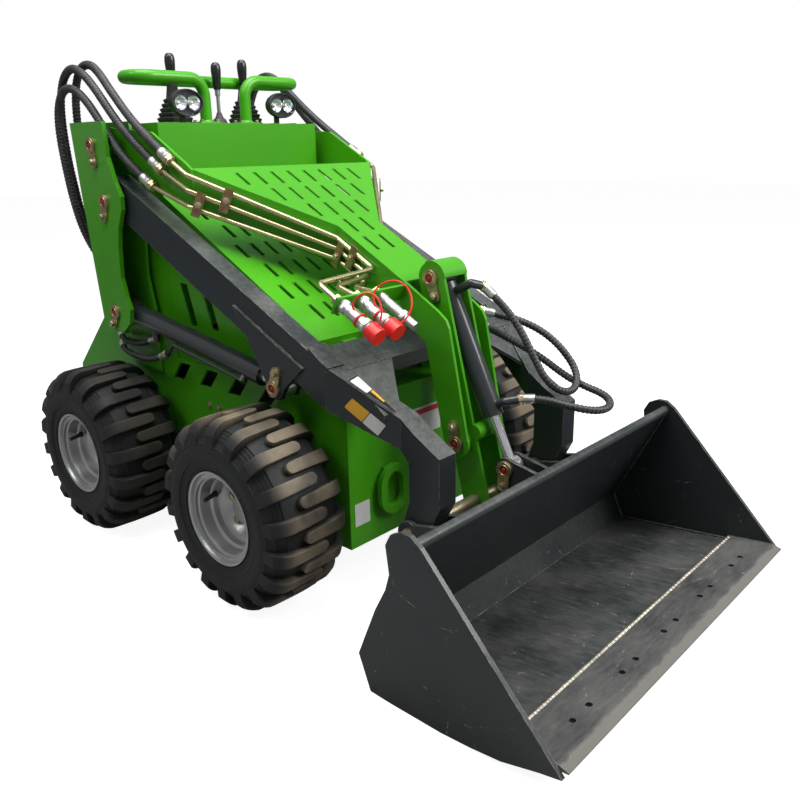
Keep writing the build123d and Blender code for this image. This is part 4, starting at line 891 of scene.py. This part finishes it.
def sticker(name, corners, away, share=(0, 1, 0, 1), proud=0.0004):
    """Blank printed film on a flat face: four corners in metres, or a share of that field."""
    a, b, c, d = (Vector(corner) for corner in corners)
    low_u, high_u, low_v, high_v = share
    spots = []
    for u, v in ((low_u, low_v), (high_u, low_v), (high_u, high_v), (low_u, high_v)):
        spots.append(a.lerp(b, u).lerp(d.lerp(c, u), v) + Vector(away) * proud)
    clear_selection()
    bpy.ops.mesh.primitive_plane_add(size=1)
    film = bpy.context.object
    film.name = film.data.name = name
    for vertex, spot in zip((film.data.vertices[index] for index in (0, 1, 3, 2)), spots):
        vertex.co = spot
    open_up()
    bpy.ops.mesh.bevel(offset=0.002, segments=3, affect="VERTICES")
    bpy.ops.mesh.select_all(action="SELECT")
    bpy.ops.mesh.extrude_region_move(TRANSFORM_OT_translate={"value": Vector(away) * film_thickness})
    close_up()
    return film


def film_material(name, slot, light, deep):
    """Printed vinyl film: even colour with faint grime and an uneven gloss."""
    return clouded(name, slot, light, deep, 0.35, broad=25.0, gloss=(0.25, 0.5))


white_film = film_material("white_film", "rim_silver", (0.72, 0.72, 0.70), (0.55, 0.55, 0.53))
yellow_film = film_material("yellow_film", "yellow_zinc", (0.80, 0.42, 0.02), (0.66, 0.33, 0.02))
red_film = film_material("red_film", "cap_red", (0.60, 0.02, 0.02), (0.48, 0.02, 0.02))


def arm_top(x, y):
    """Point on the sloping upper face of the forearm, in metres, from millimetres in the frame."""
    return (x / 1000, y / 1000, (481.1 + (y + 398.6) * 0.7138) / 1000)


def upright_field(left, right, low, high):
    """Corners of a field on the front of the chassis."""
    return [(x, -0.255, z) for x, z in ((left, low), (right, low), (right, high), (left, high))]


top_field = (arm_top(-316, -302), arm_top(-280, -296), arm_top(-262, -392), arm_top(-270, -394))
top_way = (0, -0.581, 0.814)
side_field = ((-0.3229, -0.2976, 0.4925), (-0.3146, -0.3142, 0.5130), (-0.2816, -0.3799, 0.4570),
              (-0.2899, -0.3634, 0.4330))
side_way = (-0.894, -0.449, 0)
front_field = upright_field(-0.263, -0.214, 0.172, 0.229)
middle_field = upright_field(-0.083, 0.048, 0.338, 0.410)
forward = (0, -1, 0)
finished(joined([sticker("film", top_field, top_way, (0.08, 0.92, 0.04, 0.40), 0.0009),
                 sticker("film", side_field, side_way, (0, 1, 0.54, 1))], "arm_white_films"),
         white_film, "lift_arms")
finished(joined([sticker("film", side_field, side_way, (0, 1, 0, 0.52)),
                 sticker("film", top_field, top_way, (0.58, 0.95, 0.42, 0.72), 0.0009)], "arm_yellow_films"),
         yellow_film, "lift_arms")
finished(sticker("arm_black_film", top_field, top_way), gloss_black, "lift_arms")
rims = []
for start, end in ((top_field[0], top_field[3]), (top_field[1], top_field[2]), (top_field[0], top_field[1])):
    bar = [Vector(start).lerp(Vector(end), step / 8) for step in range(9)]
    rims.append(wound_tube("rim_bar", bar, 0.0022))
finished(joined(rims, "arm_tray_rims"), arm_black, "lift_arms")
finished(joined([sticker("film", front_field, forward), sticker("film", middle_field, forward)],
                "front_white_films"), white_film, "chassis")
finished(sticker("front_red_film", middle_field, forward, (0.16, 0.94, 0.74, 0.92), 0.0008), red_film,
         "chassis")

# ---- levelling link ----
# Green folded link over the hood: a slotted top plate between two side walls. Its five pipes are bent
# from zinc-plated tube and held to the walls by two-hole clamp plates.
finish_nodes(green_coat, "levelling_link")
pipe_zinc = plated("pipe_zinc", "yellow_zinc", (0.60, 0.53, 0.30), (0.46, 0.40, 0.21), 0.26, 14.0, dents=0.0)
finish_nodes(pipe_zinc, "link_pipes")
half_clamp = 0.0012
clamp_plate = plate("clamp_plate", (-11, 61, -30), (11, 84, 30), 0.6)
for vertex in clamp_plate.data.vertices:
    vertex.co.y = half_clamp if vertex.co.y > 0 else -half_clamp
clamp_bolt = hex_bolt("clamp_bolt", 0.011, 0.007, 0.008)
# middle of the plate, direction of the pipes, where the plate looks to, and 1 for that side of the
# machine with -1 for its mirror image
clamp_table = (((-0.3138, 0.1902, 0.8975), (0.6498, -0.6627, -0.3724), (-0.7142, -0.7, 0), (1,)),
               ((-0.2664, 0.1433, 0.9060), (0.6498, -0.6627, -0.3724), (-0.7142, -0.7, 0), (1, -1)),
               ((-0.0866, -0.0430, 0.7690), (0, -0.8779, -0.4790), (-1, 0, 0), (1, -1)),
               ((-0.0866, -0.0920, 0.7690), (0, -0.8779, -0.4790), (-1, 0, 0), (1, -1)))
plates, plate_bolts = [], []
for middle, along, away, sides in clamp_table:
    for side in sides:
        centre, run, out = (Vector((side * x, y, z)) for x, y, z in (middle, along, away))
        out = out.normalized()
        run = (run - out * run.dot(out)).normalized()
        axes = Matrix((run, -out, -out.cross(run))).transposed().to_4x4()
        plates.append(copy_of(clamp_plate, "clamp", Matrix.Translation(centre) @ axes))
        bolt_spot = Matrix.Translation(centre + out * half_clamp) @ aimed(out)
        plate_bolts.append(copy_of(clamp_bolt, "bolt", bolt_spot))
discard(clamp_plate, clamp_bolt)
clamp_bronze = plated("clamp_bronze", "bronze_fitting", (0.40, 0.27, 0.13), (0.24, 0.15, 0.08), 0.4, 60.0)
finished(joined(plates, "pipe_clamps"), clamp_bronze, "levelling")
finished(joined(plate_bolts, "pipe_clamp_bolts"), bolt_zinc, "levelling")

# ---- hose ends ----
# Every hose ends in a fluted steel sleeve, crimped on, with a union nut behind it.
# Nuts and sleeves are turned from bar and zinc plated.
sleeve_sides = 48
sleeve_section = [(0.0, 0.0112), (0.0, 0.0126), (0.0015, 0.0132), (0.0045, 0.0132), (0.0050, 0.0134),
                  (0.0230, 0.0134), (0.0235, 0.0132), (0.0270, 0.0130), (0.0300, 0.0122), (0.0300, 0.0112)]
sleeve = spun("sleeve", sleeve_section, sleeve_sides)
for vertex in sleeve.data.vertices:
    x, y, z = vertex.co
    if 0.0048 < x < 0.0232:
        share = 1 - 0.055 * (round(math.atan2(y, z) / (math.tau / sleeve_sides)) % 2)
        vertex.co = (x, y * share, z * share)
nut_collar = [(-0.020, 0.0), (-0.020, 0.0122), (-0.014, 0.0128), (-0.014, 0.0)]
union_nut = joined([hexagon(0.0156, 0.014, -0.007, 0.0012), spun("collar", nut_collar, 24)], "union_nut")


def hose_ends(body, ends, name):
    """Sleeves and nuts; each sleeve runs from its point along way, over the hose or its ferrule."""
    sleeves, nuts = [], []
    for point, way, size in ends:
        spot = Matrix.Translation(point) @ aimed(way, (1, 0, 0)) @ Matrix.Scale(size, 4)
        sleeves.append(copy_of(sleeve, "sleeve", spot))
        nuts.append(copy_of(union_nut, "nut", spot))
    finished(joined(sleeves, name + "_sleeves"), sleeve_zinc, body)
    finished(joined(nuts, name + "_nuts"), union_brass, body)


def begin(routes, back, size):
    """The starts of some hoses: each sleeve begins at a distance back and runs to the hose."""
    starts = []
    for route in routes:
        first, second = shift(route[:2])
        way = (second - first).normalized()
        starts.append((first - way * back, way, size))
    return starts


def reversed_each(routes):
    return [route[::-1] for route in routes]


sleeve_zinc = plated("sleeve_zinc", "chrome_rod", (0.60, 0.60, 0.58), (0.46, 0.46, 0.44), 0.34, 50.0,
                     dents=0.0)
union_brass = plated("union_brass", "yellow_zinc", (0.66, 0.56, 0.34), (0.46, 0.38, 0.22), 0.3, 40.0)
long_routes = [aux_outer, aux_middle, aux_inner, other_side(aux_middle), other_side(aux_inner)]
tilt_routes = [tilt_upper, tilt_lower]
right_routes = [lift_rear, lift_front]
left_routes = [other_side(route) for route in right_routes]
hose_ends("levelling", begin(long_routes, 0.030, 1.0) + begin(reversed_each(tilt_routes), 0.004, 0.84),
          "link_end")
hose_ends("chassis", begin(reversed_each(long_routes), 0.006, 1.0)
          + begin(right_routes + left_routes, 0.004, 0.76), "deck_end")
hose_ends("tilt_cylinder", begin(tilt_routes, 0.004, 0.84), "tilt_end")
hose_ends("lift_cylinder_right", begin(reversed_each(right_routes), 0.004, 0.76), "right_lift_end")
hose_ends("lift_cylinder_left", begin(reversed_each(left_routes), 0.004, 0.76), "left_lift_end")
finish_nodes(union_brass, "deck_ports", "side_ports")

# ---- quick couplers ----
# Three turned steel couplers stand through a plate on the link. Two wear moulded red caps,
# each on a looped strap.
finish_nodes(sleeve_zinc, "quick_couplers")
fall = Vector((0, -math.cos(math.radians(28)), -math.sin(math.radians(28))))
foot = Vector((0, -0.244, 0.700)) + fall * 0.003
band_start = 0.056


def on_coupler(x, start):
    """Place at a distance along the coupler that stands at x."""
    return Matrix.Translation(Vector((x, foot.y, foot.z)) + fall * start) @ aimed(fall, (1, 0, 0))


knurls = []
for x, size in ((-0.268, 1.0), (-0.209, 1.0), (-0.148, 0.86)):
    for start, length, wide in ((0.001, 0.55, 1.17), (0.022, 1.25, 1.06), (0.071, 0.42, 1.24)):
        shape = Matrix.Diagonal((length, wide * size, wide * size, 1))
        knurls.append(copy_of(sleeve, "knurl", on_coupler(x, start) @ shape))
finished(joined(knurls, "coupler_knurls"), sleeve_zinc, "levelling")
discard(sleeve, union_nut)

cap_red = film_material("cap_red_plastic", "cap_red", (0.80, 0.018, 0.012), (0.66, 0.014, 0.010))
finish_nodes(cap_red, "coupler_caps")
straps = []
for x, loop in (
        (-0.268, [(-268, -277, 657), (-260, -282, 680), (-252, -276, 706), (-250, -256, 728),
                  (-260, -230, 730), (-270, -210, 712), (-273, -210, 692), (-268, -222, 686)]),
        (-0.209, [(-209, -277, 657), (-194, -290, 666), (-172, -292, 694), (-160, -272, 730),
                  (-170, -240, 748), (-194, -212, 736), (-212, -206, 708), (-209, -222, 686)])):
    straps.append(wound_tube("strap", spline_points("strap_line", shift(loop)), 0.0022))
    band = spun("band", [(0, 0.0150), (0, 0.0172), (0.004, 0.0172), (0.004, 0.0150)], 40)
    straps.append(settle(band, on_coupler(x, band_start)))
finished(joined(straps, "cap_straps"), cap_red, "levelling")

# ---- bracket and cylinders ----
# The green bracket of two plates swings at the link's nose and carries the tilt cylinder. The cylinders
# are black tubes with bolted-in necks and hard chromed rods.
finish_nodes(green_coat, "bracket")
barrel_black = coated("barrel_black", "dark_frame", (0.026, 0.030, 0.033), (0.017, 0.020, 0.023),
                      (0.30, 0.30, 0.28), 0.34, 0.6, coat=0.35)
finish_nodes(barrel_black, "tilt_barrel", "lift_barrel_left", "lift_barrel_right")
hard_chrome = plated("hard_chrome", "chrome_rod", (0.82, 0.82, 0.83), (0.70, 0.70, 0.71), 0.14, 12.0)
finish_nodes(hard_chrome, "tilt_rod", "lift_rod_left", "lift_rod_right")

# ---- bucket ----
# Folded and welded steel bucket with thick side cheeks. The paint is scratched through inside and its
# upward faces are streaked lighter grey, partly scuffs and partly painted light from above; the lips show
# bright exposed steel, and weld beads run along the floor.
attach_black = scuffed_and_top_lit("attach_black", "dark_frame", (0.017, 0.022, 0.025), (0.011, 0.015, 0.018),
                       (0.15, 0.145, 0.13), 0.6)
finish_nodes(attach_black, "quick_attach")
bucket_steel = scuffed_and_top_lit("bucket_steel", "worn_steel", (0.011, 0.018, 0.021), (0.007, 0.012, 0.015),
                       (0.10, 0.10, 0.095), 0.85, (1.4, 0.30, 1.0), 0.44, 0.8)
finish_nodes(bucket_steel, "bucket")
edge_steel = scuffed_and_top_lit("edge_steel", "worn_steel", (0.034, 0.037, 0.039), (0.020, 0.024, 0.026),
                     (0.115, 0.115, 0.11), 0.9, (0.35, 1.6, 1.0), 0.38, 0.8)
# the blade is worn bare along a ragged line near its front
tree = edge_steel.node_tree
place = add(tree, "TexCoord").outputs["Object"]
depth = add(tree, "SeparateXYZ", place).outputs["Y"]
ragged = add(tree, "Math", noise(tree, place, 38.0, 6.0), 0.014, depth, operation="MULTIPLY_ADD").outputs[0]
lay_over(edge_steel, ramp(tree, ragged, -0.946, -0.951, 0, 0.8), (0.16, 0.15, 0.135))
finish_nodes(edge_steel, "cutting_edge")


def weld(corners, size):
    """Rippled weld bead along straight runs between points in metres."""
    path = []
    for low, high in zip(corners, corners[1:]):
        low, high = Vector(low), Vector(high)
        steps = max(2, int((high - low).length / 0.0024))
        path += [low.lerp(high, step / steps) for step in range(steps)]
    return wound_tube("bead", path + [Vector(corners[-1])], size, 0.0058, 8, size * 0.22)


blade_bead = weld([(-0.494, -0.8490, 0.0480), (0.494, -0.8490, 0.0480)], 0.0065)
ground_steel = plated("ground_steel", "worn_steel", (0.50, 0.46, 0.38), (0.28, 0.26, 0.22), 0.4, 30.0)
finished(blade_bead, ground_steel, "bucket_group")
beads = []
for x in (-0.4985, 0.4985):
    beads.append(weld([(x, -0.840, 0.0400), (x, -0.547, 0.0120), (x, -0.5185, 0.0770),
                       (x, -0.650, 0.3400)], 0.0040))
weld_steel = coated("weld_steel", "worn_steel", (0.030, 0.034, 0.036), (0.017, 0.022, 0.025),
                    (0.34, 0.33, 0.30), 0.42, 0.6, coat=0.1)
finished(joined(beads, "bucket_welds"), weld_steel, "bucket_group")
